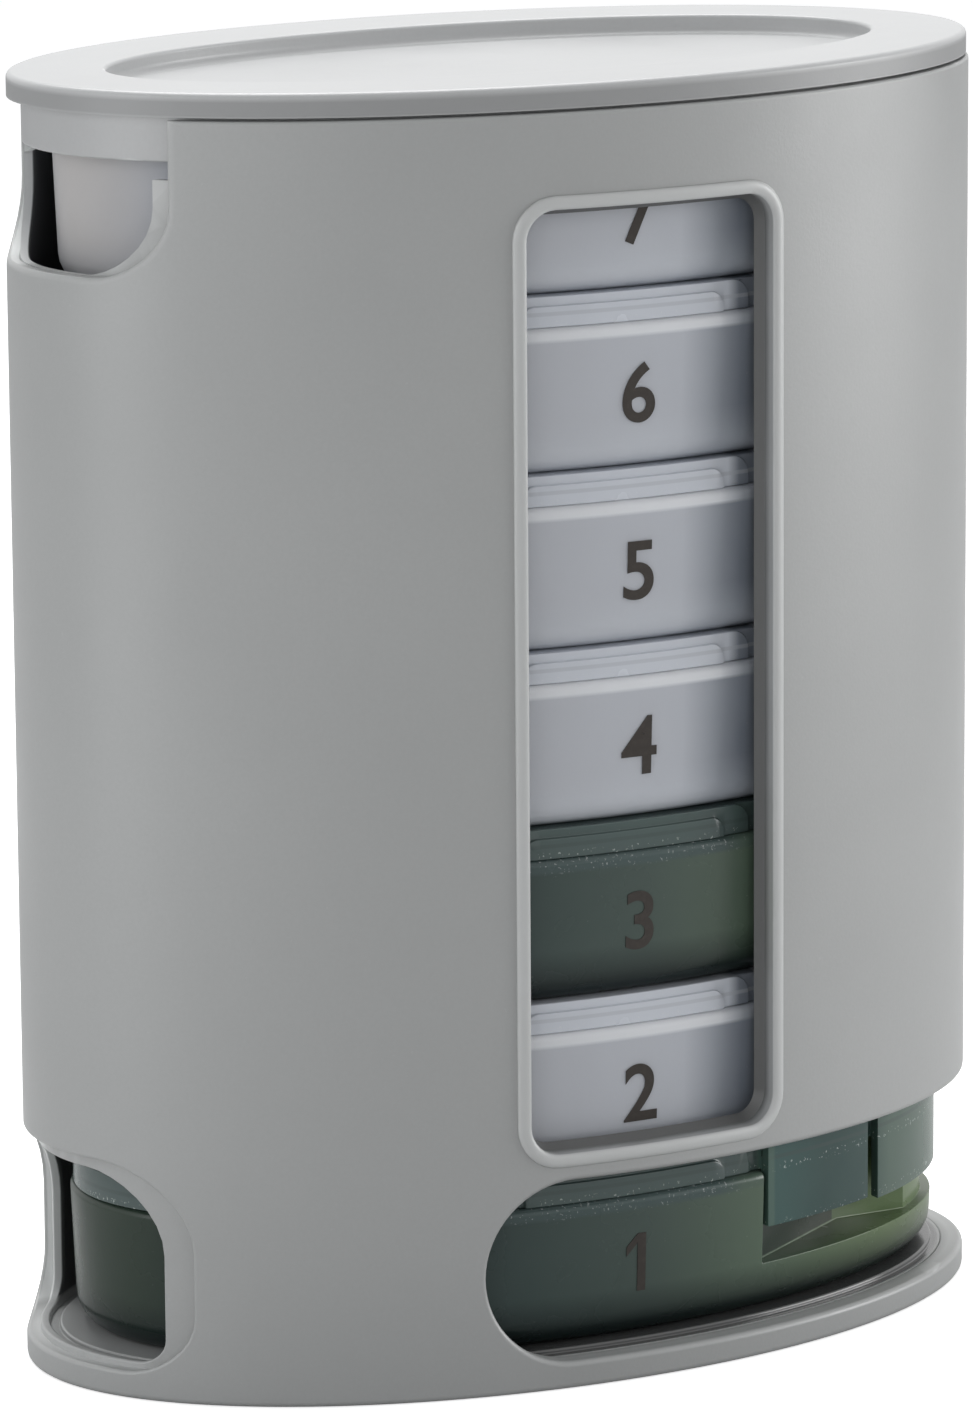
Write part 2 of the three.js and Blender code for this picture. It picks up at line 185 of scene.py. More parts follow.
# Fineness of the meshes
OVAL_STEPS = 240
TRAY_OVAL_STEPS = 200
BEND_STEPS = 8
PROFILE_STEPS = 6
FILLET_STEPS = 4
BEAD_STEPS = 12
NUMERAL_STEPS = 16
ACROSS_STEPS = 26
UPRIGHT_STEPS = 8
ROW_HEIGHT = 6
FILL_GAP = 0.6
OVERRUN = 4
SHORT_RUN = 1  # so that two cutters don't end on one plane
MERGE_WITHIN = 1e-5
TRIANGLES_INSIDE = 1
TINY = 1e-12

mouth_top = stack_bottom + tray_height + MOUTH_CLEARANCE
window_bottom = mouth_top + WINDOW_SILL
window_top = tower_top - WINDOW_HEAD
shelf_height = skirt_bottom - SKIRT_RUNOUT
cap_bottom = cap_top - CAP_THICKNESS


# Outlines and profiles
def arc(middle, radius, start, end, steps=BEND_STEPS):
    turn = np.linspace(start, end, steps + 1)
    return np.stack([middle[0] + radius * np.cos(turn), middle[1] + radius * np.sin(turn)], -1)


def straight(start, end, steps):
    """The points between two points, without the two ends."""
    share = np.linspace(0, 1, steps + 1)[1:-1, None]
    return np.array(start) * (1 - share) + np.array(end) * share


def rounded_outline(left, right, bottom, top, low, high, grow=0):
    """A rounded rectangle, counter-clockwise, with the same count of points at any size."""
    left, right, bottom, top = left - grow, right + grow, bottom - grow, top + grow
    low, high = low + grow, high + grow
    bends = [
        arc((right - low, bottom + low), low, -QUARTER, 0),
        arc((right - high, top - high), high, 0, QUARTER),
        arc((left + high, top - high), high, QUARTER, 2 * QUARTER),
        arc((left + low, bottom + low), low, 2 * QUARTER, 3 * QUARTER),
    ]
    counts = [UPRIGHT_STEPS, ACROSS_STEPS, UPRIGHT_STEPS, ACROSS_STEPS]
    parts = []
    for place, count in enumerate(counts):
        parts.append(bends[place])
        parts.append(straight(bends[place][-1], bends[(place + 1) % 4][0], count))
    return np.concatenate(parts)


def fillet_out(radius):
    """From the outer face round the edge of an opening, as (grow, offset)."""
    turn = np.linspace(0, QUARTER, FILLET_STEPS + 1)
    return [(radius * (1 - math.sin(t)), radius * (1 - math.cos(t))) for t in turn]


def fillet_in(radius, depth):
    """From the cut round its inner edge, as (grow, offset)."""
    turn = np.linspace(0, QUARTER, FILLET_STEPS + 1)
    return [(radius * (1 - math.cos(t)), depth - radius * (1 - math.sin(t))) for t in turn]


def smooth_runs(corner_list):
    """A profile from corners (offset, height, radius). A radius of zero splits the run."""
    points = [np.array(corner[:2], float) for corner in corner_list]
    runs, run = [], [points[0]]
    for place in range(1, len(points) - 1):
        radius = corner_list[place][2]
        here = points[place]
        if not radius:
            run.append(here)
            runs.append(np.array(run))
            run = [here]
            continue
        back = points[place - 1] - here
        ahead = points[place + 1] - here
        back, ahead = back / np.linalg.norm(back), ahead / np.linalg.norm(ahead)
        half = math.acos(np.clip(np.dot(back, ahead), -1, 1)) / 2
        reach = radius / math.tan(half)
        middle = here + (back + ahead) / np.linalg.norm(back + ahead) * radius / math.sin(half)
        first, last = here + back * reach, here + ahead * reach
        start = math.atan2(*(first - middle)[::-1])
        bend = math.atan2(*(last - middle)[::-1]) - start
        bend = (bend + math.pi) % (2 * math.pi) - math.pi
        run.extend(arc(middle, radius, start, start + bend, PROFILE_STEPS))
    run.append(points[-1])
    runs.append(np.array(run))
    return runs


# Meshes with exact normals
def unit(vectors):
    return vectors / np.maximum(np.linalg.norm(vectors, axis=-1, keepdims=True), TINY)


def grid_faces(rows, columns, closed=True):
    """The faces between rows of points that follow each other."""
    faces = []
    for row in range(rows - 1):
        for column in range(columns if closed else columns - 1):
            beside = (column + 1) % columns
            here, above = row * columns, (row + 1) * columns
            faces.append((here + column, here + beside, above + beside, above + column))
    return faces


class Skin:
    """Patches of vertices with their normals, joined into one mesh."""

    def __init__(self):
        self.points, self.normals, self.faces, self.count = [], [], [], 0

    def add(self, points, normals, faces):
        points, normals = points.reshape(-1, 3), normals.reshape(-1, 3)
        self.faces.extend([tuple(corner + self.count for corner in face) for face in faces])
        self.points.append(points)
        self.normals.append(normals)
        self.count += len(points)

    def add_grid(self, points, normals, closed):
        self.add(points, normals, grid_faces(*points.shape[:2], closed))

    def mesh(self, name):
        points = np.concatenate(self.points)
        normals = unit(np.concatenate(self.normals))
        turned = []
        for face in self.faces:
            a, b, c, *d = points[list(face)]
            facing = np.cross(c - a, d[0] - b) if d else np.cross(b - a, c - a)
            along = normals[list(face)].sum(0)
            turned.append(face if np.dot(facing, along) >= 0 else face[::-1])
        mesh = bpy.data.meshes.new(name)
        mesh.from_pydata((points * MM).tolist(), [], turned)
        mesh.polygons.foreach_set("use_smooth", [True] * len(mesh.polygons))
        mesh.normals_split_custom_set_from_vertices(normals.tolist())
        mesh.update()
        return mesh


def place_object(name, data):
    made = bpy.data.objects.new(name, data)
    bpy.context.scene.collection.objects.link(made)
    return made


# The wall of the tower, unrolled into an angle and a height. The unrolled
# sheet starts and ends at a seam on the back.
seam = math.acos(SEAM_X / HALF_LENGTH)
first_angle, last_angle = seam - 2 * math.pi, seam
mean_radius = (HALF_LENGTH + HALF_DEPTH) / 2


def wall_point(offset, angle, height):
    height = np.broadcast_to(height, np.shape(angle))
    return np.stack(
        [(HALF_LENGTH - offset) * np.cos(angle), (HALF_DEPTH - offset) * np.sin(angle), height], -1
    )


def wall_normal(offset, angle):
    across = (HALF_DEPTH - offset) * np.cos(angle)
    along = (HALF_LENGTH - offset) * np.sin(angle)
    return unit(np.stack([across, along, np.zeros_like(across)], -1))


def front_angle(x, offset):
    return -np.arccos(np.clip(x / (HALF_LENGTH - offset), -1, 1))


def left_angle(y, offset):
    return -math.pi - np.arcsin(y / (HALF_DEPTH - offset))


def window_path(grow, offset):
    line = rounded_outline(
        -WINDOW_HALF_WIDTH, WINDOW_HALF_WIDTH, window_bottom, window_top,
        WINDOW_CORNER, WINDOW_CORNER, grow,
    )
    return np.stack([front_angle(line[:, 0], offset), line[:, 1]], -1)


def mouth_path(grow, offset):
    radius = (mouth_top - BASE_RIM) / 2
    middle = (radius - MOUTH_REACH, BASE_RIM + radius)
    bend = arc(middle, radius + grow, QUARTER, 3 * QUARTER, 4 * BEND_STEPS)
    front = np.stack([front_angle(bend[:, 0], offset), bend[:, 1]], -1)
    back = np.stack([-front[::-1, 0], front[::-1, 1]], -1)
    below = straight(front[-1], back[0], OVAL_STEPS // 2)
    above = straight(back[-1], front[0], OVAL_STEPS // 2)
    return np.concatenate([front, below, back, above])


def left_path(outline, offset):
    """An outline in Y and Z on the left end, turned clockwise."""
    return np.stack([left_angle(outline[::-1, 0], offset), outline[::-1, 1]], -1)


def hole_path(grow, offset):
    return left_path(rounded_outline(
        -HOLE_HALF_WIDTH, HOLE_HALF_WIDTH, BASE_RIM, mouth_top + HOLE_RISE,
        HOLE_FOOT_CORNER, HOLE_TOP_CORNER, grow,
    ), offset)


def lip_hole_path(grow, offset):
    return left_path(rounded_outline(
        HOLE_LIP_FRONT - HOLE_HALF_WIDTH, HOLE_HALF_WIDTH - HOLE_LIP_BACK,
        BASE_RIM + HOLE_LIP_FOOT, mouth_top + HOLE_RISE - HOLE_LIP_TOP,
        HOLE_LIP_FOOT_CORNER, HOLE_LIP_TOP_CORNER, grow,
    ), offset)


def rim_path(grow, offset, lip_front=0, lip_back=0, top=tower_top):
    """The upper edge of the wall, with the notch in it, all the way round."""
    wider = grow * NOTCH_SPREAD
    front = NOTCH_HALF_WIDTH - lip_front + wider
    back = NOTCH_HALF_WIDTH - lip_back + wider
    bottom = tower_top - NOTCH_DEPTH - wider
    radius = NOTCH_CORNER + wider
    height = top - grow
    back_bend = arc((back - radius, bottom + radius), radius, 0, -QUARTER)
    front_bend = arc((radius - front, bottom + radius), radius, -QUARTER, -2 * QUARTER)
    notch = np.concatenate([
        [(back, height)],
        straight((back, height), back_bend[0], UPRIGHT_STEPS),
        back_bend,
        straight(back_bend[-1], front_bend[0], ACROSS_STEPS),
        front_bend,
        straight(front_bend[-1], (-front, height), UPRIGHT_STEPS),
        [(-front, height)],
    ])
    dip = np.stack([left_angle(notch[:, 0], offset), notch[:, 1]], -1)
    start, end = (first_angle, height), (last_angle, height)
    return np.concatenate([
        [start],
        straight(start, dip[0], OVAL_STEPS // 12),
        dip,
        straight(dip[-1], end, OVAL_STEPS),
        [end],
    ])


def lip_rim_path(grow, offset):
    return rim_path(grow, offset, NOTCH_LIP_FRONT, NOTCH_LIP_BACK, shelf_height)


def foot_path(grow, offset):
    angles = np.linspace(last_angle, first_angle, OVAL_STEPS + 1)
    return np.stack([angles, np.full_like(angles, grow)], -1)


def within(points, loop):
    """Which points lie inside a closed outline."""
    found = np.zeros(len(points), bool)
    x, y = points[:, 0], points[:, 1]
    for (ax, ay), (bx, by) in zip(loop, np.roll(loop, -1, axis=0)):
        crosses = (ay > y) != (by > y)
        if ay != by:
            found ^= crosses & (x < (bx - ax) * (y - ay) / (by - ay) + ax)
    return found


def clear_of(points, loop):
    """Which points keep their distance from an outline."""
    clear = np.ones(len(points), bool)
    for start, end in zip(loop, np.roll(loop, -1, axis=0)):
        run = end - start
        share = np.clip((points - start) @ run / max(run @ run, TINY), 0, 1)
        nearest = start + share[:, None] * run
        clear &= np.linalg.norm(points - nearest, axis=1) > FILL_GAP
    return clear


def fill_wall(skin, offset, side, foot, rim, holes):
    """The wall's face at an offset, between foot and rim, round the holes."""
    steps = int(tower_top / ROW_HEIGHT)
    border = np.concatenate([
        foot[::-1],
        straight(foot[0], rim[-1], steps),
        rim[::-1],
        straight(rim[0], foot[-1], steps),
    ])
    loops = [border] + holes
    inner = np.array([
        (angle, height)
        for angle in np.linspace(first_angle, last_angle, OVAL_STEPS)[1:-1]
        for height in np.arange(ROW_HEIGHT / 2, tower_top, ROW_HEIGHT)
    ])
    spread = np.array([mean_radius, 1])
    for loop in loops:
        inner = inner[clear_of(inner * spread, loop * spread)]
    edges, start = [], 0
    for loop in loops:
        count = len(loop)
        edges += [(start + place, start + (place + 1) % count) for place in range(count)]
        start += count
    flat = np.concatenate(loops + [inner]) * spread
    found, _, faces, *_ = delaunay_2d_cdt(
        [Vector(p) for p in flat], edges, [], TRIANGLES_INSIDE, MERGE_WITHIN,
    )
    flat = np.array([tuple(p) for p in found])
    middles = np.array([flat[list(face)].mean(0) for face in faces])
    kept = within(middles, border * spread)
    for hole in holes:
        kept &= ~within(middles, hole * spread)
    faces = [face for face, keep in zip(faces, kept) if keep]
    used = sorted({corner for face in faces for corner in face})
    number = {corner: place for place, corner in enumerate(used)}
    angle, height = (flat[used] / spread).T
    skin.add(
        wall_point(offset, angle, height),
        side * wall_normal(offset, angle),
        [tuple(number[corner] for corner in face) for face in faces],
    )


def edge_band(skin, path, profile, closed, soft_start, soft_end):
    """The rounded edge and the cut of an opening, from its outer to its inner face."""
    rings = [wall_point(offset, *path(grow, offset).T) for grow, offset in profile]
    points = np.array(rings)
    if closed:
        along = np.roll(points, -1, axis=1) - np.roll(points, 1, axis=1)
    else:
        along = np.gradient(points, axis=1)
    normals = unit(np.cross(along, np.gradient(points, axis=0)))
    if soft_start:
        normals[0] = wall_normal(profile[0][1], path(*profile[0])[:, 0])
    if soft_end:
        normals[-1] = -wall_normal(profile[-1][1], path(*profile[-1])[:, 0])
    skin.add_grid(points, normals, closed)


def wall_layer(skin, outer, inner, foot, rim, openings):
    """One layer of the wall. foot, rim and each opening are a path with its profile."""
    for (path, profile), closed in [(foot, False), (rim, False)] + [(o, True) for o in openings]:
        edge_band(skin, path, profile, closed, profile[0][0] > 0, profile[-1][0] > 0)
    for offset, side, end in ((outer, 1, 0), (inner, -1, -1)):
        fill_wall(
            skin, offset, side,
            foot[0](*foot[1][end]),
            rim[0](*rim[1][end]),
            [path(*profile[end]) for path, profile in openings],
        )


def bead_profile():
    """The bead round the window with its soft foot, and the outer part of the cut."""
    turn = np.linspace(0, math.pi, BEAD_STEPS + 1)
    half = BEAD_WIDTH / 2
    bump = [
        (half + half * math.cos(t), -BEAD_PROUD * math.sin(t) ** BEAD_FULLNESS) for t in turn
    ]
    foot = [(BEAD_WIDTH * reach, -BEAD_PROUD * rise) for reach, rise in BEAD_FOOT]
    return foot + bump + [(0, RIM_WALL / 3), (0, RIM_WALL)]


def sweep(skin, runs, centre_start=False, centre_end=False):
    """Profiles in offset and height, run round the oval. The solid is on their right."""
    angles = np.linspace(0, 2 * math.pi, OVAL_STEPS, endpoint=False)
    for run in runs:
        slope = np.gradient(run, axis=0)
        out, up = unit(np.stack([slope[:, 1], slope[:, 0]], -1)).T
        points = np.array([wall_point(offset, angles, height) for offset, height in run])
        flat = np.array([wall_normal(offset, angles) for offset, _ in run])
        normals = flat * out[:, None, None] + np.array([0, 0, 1]) * up[:, None, None]
        skin.add_grid(points, normals, True)
    for wanted, (offset, height), facing in (
        (centre_start, runs[0][0], -1), (centre_end, runs[-1][-1], 1),
    ):
        if wanted:
            ring = wall_point(offset, angles, height)
            points = np.concatenate([ring, [[0, 0, height]]])
            normals = np.tile([0, 0, facing], (len(points), 1)).astype(float)
            fan = [(n, (n + 1) % OVAL_STEPS, OVAL_STEPS) for n in range(OVAL_STEPS)]
            skin.add(points, normals, fan)


def make_tower():
    skin = Skin()
    through = [(0, RIM_WALL), (0, TOWER_WALL)]
    wall_layer(
        skin, 0, RIM_WALL,
        (foot_path, fillet_out(BASE_ROUND) + [(0, RIM_WALL)]),
        (rim_path, fillet_out(RIM_ROUND) + fillet_in(LIP_ROUND, RIM_WALL)),
        [
            (window_path, bead_profile()),
            (mouth_path, fillet_out(MOUTH_ROUND) + [(0, RIM_WALL)]),
            (hole_path, fillet_out(HOLE_ROUND) + [(0, RIM_WALL)]),
        ],
    )
    lip = [(g, o + RIM_WALL) for g, o in fillet_out(LIP_ROUND)] + fillet_in(LIP_ROUND, TOWER_WALL)
    inner_edge = [(0, RIM_WALL)] + fillet_in(LIP_ROUND, TOWER_WALL)
    drafted_edge = [(0, RIM_WALL), (-WINDOW_DRAFT, TOWER_WALL)]
    wall_layer(
        skin, RIM_WALL, TOWER_WALL,
        (foot_path, through),
        (lip_rim_path, inner_edge),
        [(window_path, drafted_edge), (mouth_path, inner_edge), (lip_hole_path, lip)],
    )
    step = tray_inset + BASE_STEP_SETBACK
    plate = smooth_runs([
        (TOWER_WALL, 0, 0),
        (TOWER_WALL, BASE_RIM, 0),
        (step, BASE_RIM, LIP_ROUND / 2),
        (step, BASE_RIM + BASE_STEP, LIP_ROUND),
        (2 * step, BASE_RIM + BASE_STEP, 0),
    ])
    sweep(skin, plate, centre_start=True, centre_end=True)
    return skin.mesh("tower_shell")


def make_cap():
    skin = Skin()
    edge = CAP_EDGE_SETBACK
    recess_bottom = cap_top - RECESS_DEPTH
    upper = smooth_runs([
        (edge, cap_bottom, 0),
        (edge, cap_top, CAP_EDGE_ROUND),
        (RECESS_INSET, cap_top, RECESS_EDGE_ROUND),
        (RECESS_INSET, recess_bottom, RECESS_FOOT_ROUND),
        (RECESS_INSET + 2 * RECESS_FOOT_ROUND, recess_bottom, 0),
    ])
    sweep(skin, upper, centre_end=True)
    pan = RECESS_INSET - RECESS_FLOOR
    skirt = RIM_WALL + SLIDE_GAP
    lower = smooth_runs([
        (pan + RECESS_FLOOR, recess_bottom - RECESS_FLOOR, 0),
        (pan, recess_bottom - RECESS_FLOOR, LIP_ROUND),
        (pan, cap_bottom, LIP_ROUND),
        (skirt + SKIRT_WALL, cap_bottom, LIP_ROUND),
        (skirt + SKIRT_WALL, skirt_bottom, LIP_ROUND),
        (skirt, skirt_bottom, LIP_ROUND),
        (skirt, cap_bottom, LIP_ROUND),
        (edge, cap_bottom, 0),
    ])
    sweep(skin, lower, centre_start=True)
    return skin.mesh("cap_shell")


# Solids that are joined and cut, for the trays and their lids
def tray_point(inset, angle, height, end_gap=0):
    """A point of the trays' oval, whose left half can be shorter by an end gap."""
    points = wall_point(tray_inset + inset, angle, height)
    shorter = 1 - end_gap / (HALF_LENGTH - tray_inset - inset)
    points[..., 0] *= np.where(points[..., 0] < 0, shorter, 1)
    return points


def loft(rings):
    """A closed solid through rings of points, flat at both ends."""
    count = len(rings[0])
    last = (len(rings) - 1) * count
    ends = [tuple(range(count)), tuple(range(last, last + count))]
    mesh = bpy.data.meshes.new("solid")
    mesh.from_pydata(np.concatenate(rings).tolist(), [], ends + grid_faces(len(rings), count))
    shape = bmesh.new()
    shape.from_mesh(mesh)
    bmesh.ops.recalc_face_normals(shape, faces=shape.faces)
    shape.to_mesh(mesh)
    shape.free()
    return place_object("solid", mesh)


def oval_prism(inset, bottom, top, end_gap=0):
    angles = np.linspace(0, 2 * math.pi, TRAY_OVAL_STEPS, endpoint=False)
    return loft([tray_point(inset, angles, height, end_gap) for height in (bottom, top)])


def prism(outline, bottom, top):
    flat = np.array(outline, float)
    return loft([np.column_stack([flat, np.full(len(flat), h)]) for h in (bottom, top)])


def along_y(outline, near, far):
    flat = np.array(outline, float)
    return loft([
        np.column_stack([flat[:, 0], np.full(len(flat), y), flat[:, 1]]) for y in (near, far)
    ])


def block(low_x, high_x, low_y, high_y, low_z, high_z):
    return prism(
        [(low_x, low_y), (high_x, low_y), (high_x, high_y), (low_x, high_y)], low_z, high_z,
    )


def combine(body, tool, operation):
    change = body.modifiers.new("change", "BOOLEAN")
    change.operation = operation
    change.solver = "EXACT"
    change.object = tool
    bake(body)
    bpy.data.objects.remove(tool)
    return body


def cut(body, tool):
    return combine(body, tool, "DIFFERENCE")


def join(body, tool):
    return combine(body, tool, "UNION")


def overlap(body, tool):
    return combine(body, tool, "INTERSECT")


def evaluated_mesh(body):
    graph = bpy.context.evaluated_depsgraph_get()
    return bpy.data.meshes.new_from_object(body.evaluated_get(graph))


def bake(body):
    """Turns an object's modifiers into its mesh."""
    made = evaluated_mesh(body)
    body.modifiers.clear()
    body.data = made


def finished_mesh(body, name):
    """Breaks the edges of a solid, and turns it into metres.

    Large faces are cut into triangles first, as rounding turns them wrong."""
    shape = bmesh.new()
    shape.from_mesh(body.data)
    bmesh.ops.remove_doubles(shape, verts=shape.verts, dist=EDGE_BREAK / 4)
    bmesh.ops.dissolve_degenerate(shape, edges=shape.edges, dist=EDGE_BREAK / 8)
    bmesh.ops.triangulate(shape, faces=shape.faces, ngon_method="BEAUTY")
    shape.to_mesh(body.data)
    shape.free()
    edge = body.modifiers.new("edge", "BEVEL")
    edge.width = EDGE_BREAK
    edge.segments = EDGE_SEGMENTS
    edge.limit_method = "ANGLE"
    edge.angle_limit = math.radians(BROKEN_ABOVE)
    edge.use_clamp_overlap = False
    bake(body)
    mesh = body.data
    mesh.transform(Matrix.Scale(MM, 4))
    mesh.polygons.foreach_set("use_smooth", [True] * len(mesh.polygons))
    mesh.set_sharp_from_angle(angle=math.radians(SHARP_ABOVE))
    weighted = body.modifiers.new("weighted", "WEIGHTED_NORMAL")
    weighted.keep_sharp = True
    weighted.weight = FACE_WEIGHT
    bake(body)
    mesh = body.data
    mesh.name = name
    bpy.data.objects.remove(body)
    return mesh


def pocket_outline(side, wall):
    far = HALF_LENGTH + OVERRUN
    half_length = HALF_LENGTH - tray_inset - NECK_SETBACK
    half_depth = HALF_DEPTH - tray_inset - NECK_SETBACK
    start_y = half_depth * math.sqrt(1 - (PLATE_END / half_length) ** 2)
    slant = math.atan2(start_y - NECK_HALF_WIDTH, POCKET_CORNER - PLATE_END)
    corner_x = POCKET_CORNER - wall * math.tan(slant / 2)
    corner_y = NECK_HALF_WIDTH - wall
    first_x = PLATE_END - wall
    first_y = corner_y + (corner_x - first_x) * math.tan(slant)
    return [
        (first_x, side * first_y), (corner_x, side * corner_y), (far, side * corner_y),
        (far, side * far), (first_x, side * far),
    ]


def end_cut(bottom, top, wall):
    far = HALF_LENGTH + OVERRUN
    body = block(PLATE_END - wall, far, -far, far, bottom, top)
    cut(body, oval_prism(NECK_SETBACK + wall, bottom - OVERRUN, top + OVERRUN))
    for side in (-1, 1):
        join(body, prism(pocket_outline(side, wall), bottom, top))
    return body


def make_tray():
    top = wall_height
    far = HALF_LENGTH + OVERRUN
    half = HALF_LENGTH - tray_inset
    spacing = 2 * half / COMPARTMENT_COUNT
    angles = np.linspace(0, 2 * math.pi, TRAY_OVAL_STEPS, endpoint=False)
    underside = SEAM_SHOWN - SEAT_GAP
    side = smooth_runs([
        (2 * TRAY_BOTTOM_ROUND, underside, 0),
        (TRAY_DRAFT, underside, TRAY_BOTTOM_ROUND),
        (0, top, TRAY_EDGE_ROUND),
        (2 * TRAY_EDGE_ROUND, top, 0),
    ])[0]
    body = loft([tray_point(inset, angles, height, tray_end_gap) for inset, height in side])
    hollow = oval_prism(TRAY_WALL + TRAY_DRAFT, TRAY_FLOOR, top + OVERRUN, tray_end_gap)
    cut(hollow, end_cut(-OVERRUN, top + 2 * OVERRUN, TRAY_WALL))
    for number in range(1, COMPARTMENT_COUNT):
        middle = number * spacing - half
        low, high = middle - DIVIDER / 2, middle + DIVIDER / 2
        cut(hollow, block(low, high, -far, far, -SHORT_RUN, top + 2 * OVERRUN))
    cut(body, end_cut(FLANGE_HEIGHT, top + OVERRUN, 0))
    cut(body, hollow)
    foot_top = tray_height - LID_PLATE - RUNNER_NECK_HEIGHT
    foot_bottom = foot_top - RUNNER_FOOT_HEIGHT
    neck = RUNNER_NECK_HALF + SLIDE_GAP
    foot = RUNNER_FOOT_HALF + SLIDE_GAP
    near = spacing / 2 - half
    slot = block(near, far, -neck, neck, foot_bottom, tray_height)
    join(slot, block(near, far, -foot, foot, foot_bottom - SLIDE_GAP, foot_top + SLIDE_GAP))
    cut(body, slot)
    return finished_mesh(body, "tray_shell")


def rim_patch(left, right, top, radius, proud):
    bottom = wall_height + SEAM_SHOWN
    outline = np.concatenate([
        [(left, bottom), (right, bottom)],
        arc((right - radius, top - radius), radius, 0, QUARTER),
        arc((left + radius, top - radius), radius, QUARTER, 2 * QUARTER),
    ])
    patch = along_y(outline, -HALF_DEPTH, HALF_DEPTH)
    overlap(patch, oval_prism(LID_SETBACK - proud, 0, tray_height + OVERRUN))
    return cut(patch, oval_prism(LID_SETBACK + LID_WALL / 2, -SHORT_RUN, tray_height + 2 * OVERRUN))


def make_lid():
    far = HALF_LENGTH + OVERRUN
    bottom = wall_height + SEAM_SHOWN
    plate_bottom = tray_height - LID_PLATE
    panel_top = tray_height - PANEL_DROP
    body = oval_prism(LID_SETBACK, bottom, tray_height, LID_END_GAP)
    cut(body, oval_prism(LID_SETBACK + LID_WALL, bottom - OVERRUN, plate_bottom, LID_END_GAP))
    join(body, rim_patch(-ARCH_HALF_WIDTH, ARCH_HALF_WIDTH, tray_height, ARCH_CORNER, ARCH_PROUD))
    join(body, rim_patch(-PANEL_LEFT, PANEL_RIGHT, panel_top, PANEL_CORNER, PANEL_PROUD))

    # The hood at the right end, with a tab on each side and the end grip
    start = PLATE_END + TAB_GAP
    slit_start = start + TAB_LENGTH
    slit_end = slit_start + SLIT_WIDTH
    grip_bottom = tray_height - SKIRT_HANG
    tab_bottom = tray_height - TAB_HANG
    hood = oval_prism(0, grip_bottom, tray_height)
    low, high = grip_bottom - SHORT_RUN, tray_height + SHORT_RUN
    overlap(hood, block(start, far, -far, far, low, high))
    cut(hood, oval_prism(LID_WALL, grip_bottom - OVERRUN, plate_bottom))
    cut(hood, block(start - OVERRUN, slit_start, -far, far, grip_bottom - OVERRUN, tab_bottom))
    slit = block(slit_start, slit_end, -far, far, grip_bottom - OVERRUN, tray_height + OVERRUN)
    cut(slit, oval_prism(SLIT_DEPTH, grip_bottom - 2 * OVERRUN, tray_height + 2 * OVERRUN))
    cut(hood, slit)
    join(body, hood)

    half = HALF_LENGTH - tray_inset
    left = tray_end_gap + TRAY_WALL + RUNNER_END_GAP - half
    right = half - NECK_SETBACK - TRAY_WALL - RUNNER_END_GAP
    foot_top = plate_bottom - RUNNER_NECK_HEIGHT
    foot_bottom = foot_top - RUNNER_FOOT_HEIGHT
    middle = plate_bottom + LID_PLATE / 2
    runner = block(left, right, -RUNNER_NECK_HALF, RUNNER_NECK_HALF, foot_bottom, middle)
    join(runner, block(left, right, -RUNNER_FOOT_HALF, RUNNER_FOOT_HALF, foot_bottom, foot_top))
    join(body, runner)
    return finished_mesh(body, "lid_shell")


def drawn_one():
    """The outline of a 1: an upright stem with a slanted flag."""
    half, top = NUMERAL_STROKE / 2, NUMERAL_HEIGHT
    corner_list = [
        (-half, 0), (half, 0), (half, top), (-half, top),
        (-FLAG_REACH, top - FLAG_DROP), (-FLAG_REACH, top - FLAG_DROP - NUMERAL_STROKE),
        (-half, top - NUMERAL_STROKE),
    ]
    curve = bpy.data.curves.new("numeral_one", "CURVE")
    curve.dimensions = "2D"
    curve.fill_mode = "BOTH"
    line = curve.splines.new("POLY")
    line.points.add(len(corner_list) - 1)
    for point, (x, up) in zip(line.points, corner_list):
        point.co = (x, up, 0, 1)
    line.use_cyclic_u = True
    return curve


def drawn_text(number):
    text = bpy.data.curves.new(f"numeral_{number}", "FONT")
    text.body = str(number)
    text.size = NUMERAL_HEIGHT / FONT_CAP_SHARE
    text.align_x = "CENTER"
    text.resolution_u = NUMERAL_STEPS
    text.offset = NUMERAL_SWELL
    return text


def make_numeral(number):
    """A printed numeral that follows the curve of the label side."""
    text = drawn_one() if number == 1 else drawn_text(number)
    text.extrude = NUMERAL_PROUD
    drawn = place_object("drawn", text)
    mesh = evaluated_mesh(drawn)
    bpy.data.objects.remove(drawn)
    for vertex in mesh.vertices:
        x, up, proud = vertex.co
        height = up + NUMERAL_RISE - NUMERAL_HEIGHT / 2
        inset = tray_inset + TRAY_DRAFT * (1 - height / wall_height)
        left = tray_end_gap if x < 0 else 0
        share = x / (HALF_LENGTH - inset - left)
        y = (inset - HALF_DEPTH) * math.sqrt(1 - share ** 2) - proud
        vertex.co = Vector((x, y, height)) * MM
    mesh.name = f"numeral_{number}"
    return mesh


# Materials
MIX_SOCKETS = {"RGBA": (0, 6, 7, 2), "FLOAT": (0, 2, 3, 0)}  # three inputs and the output


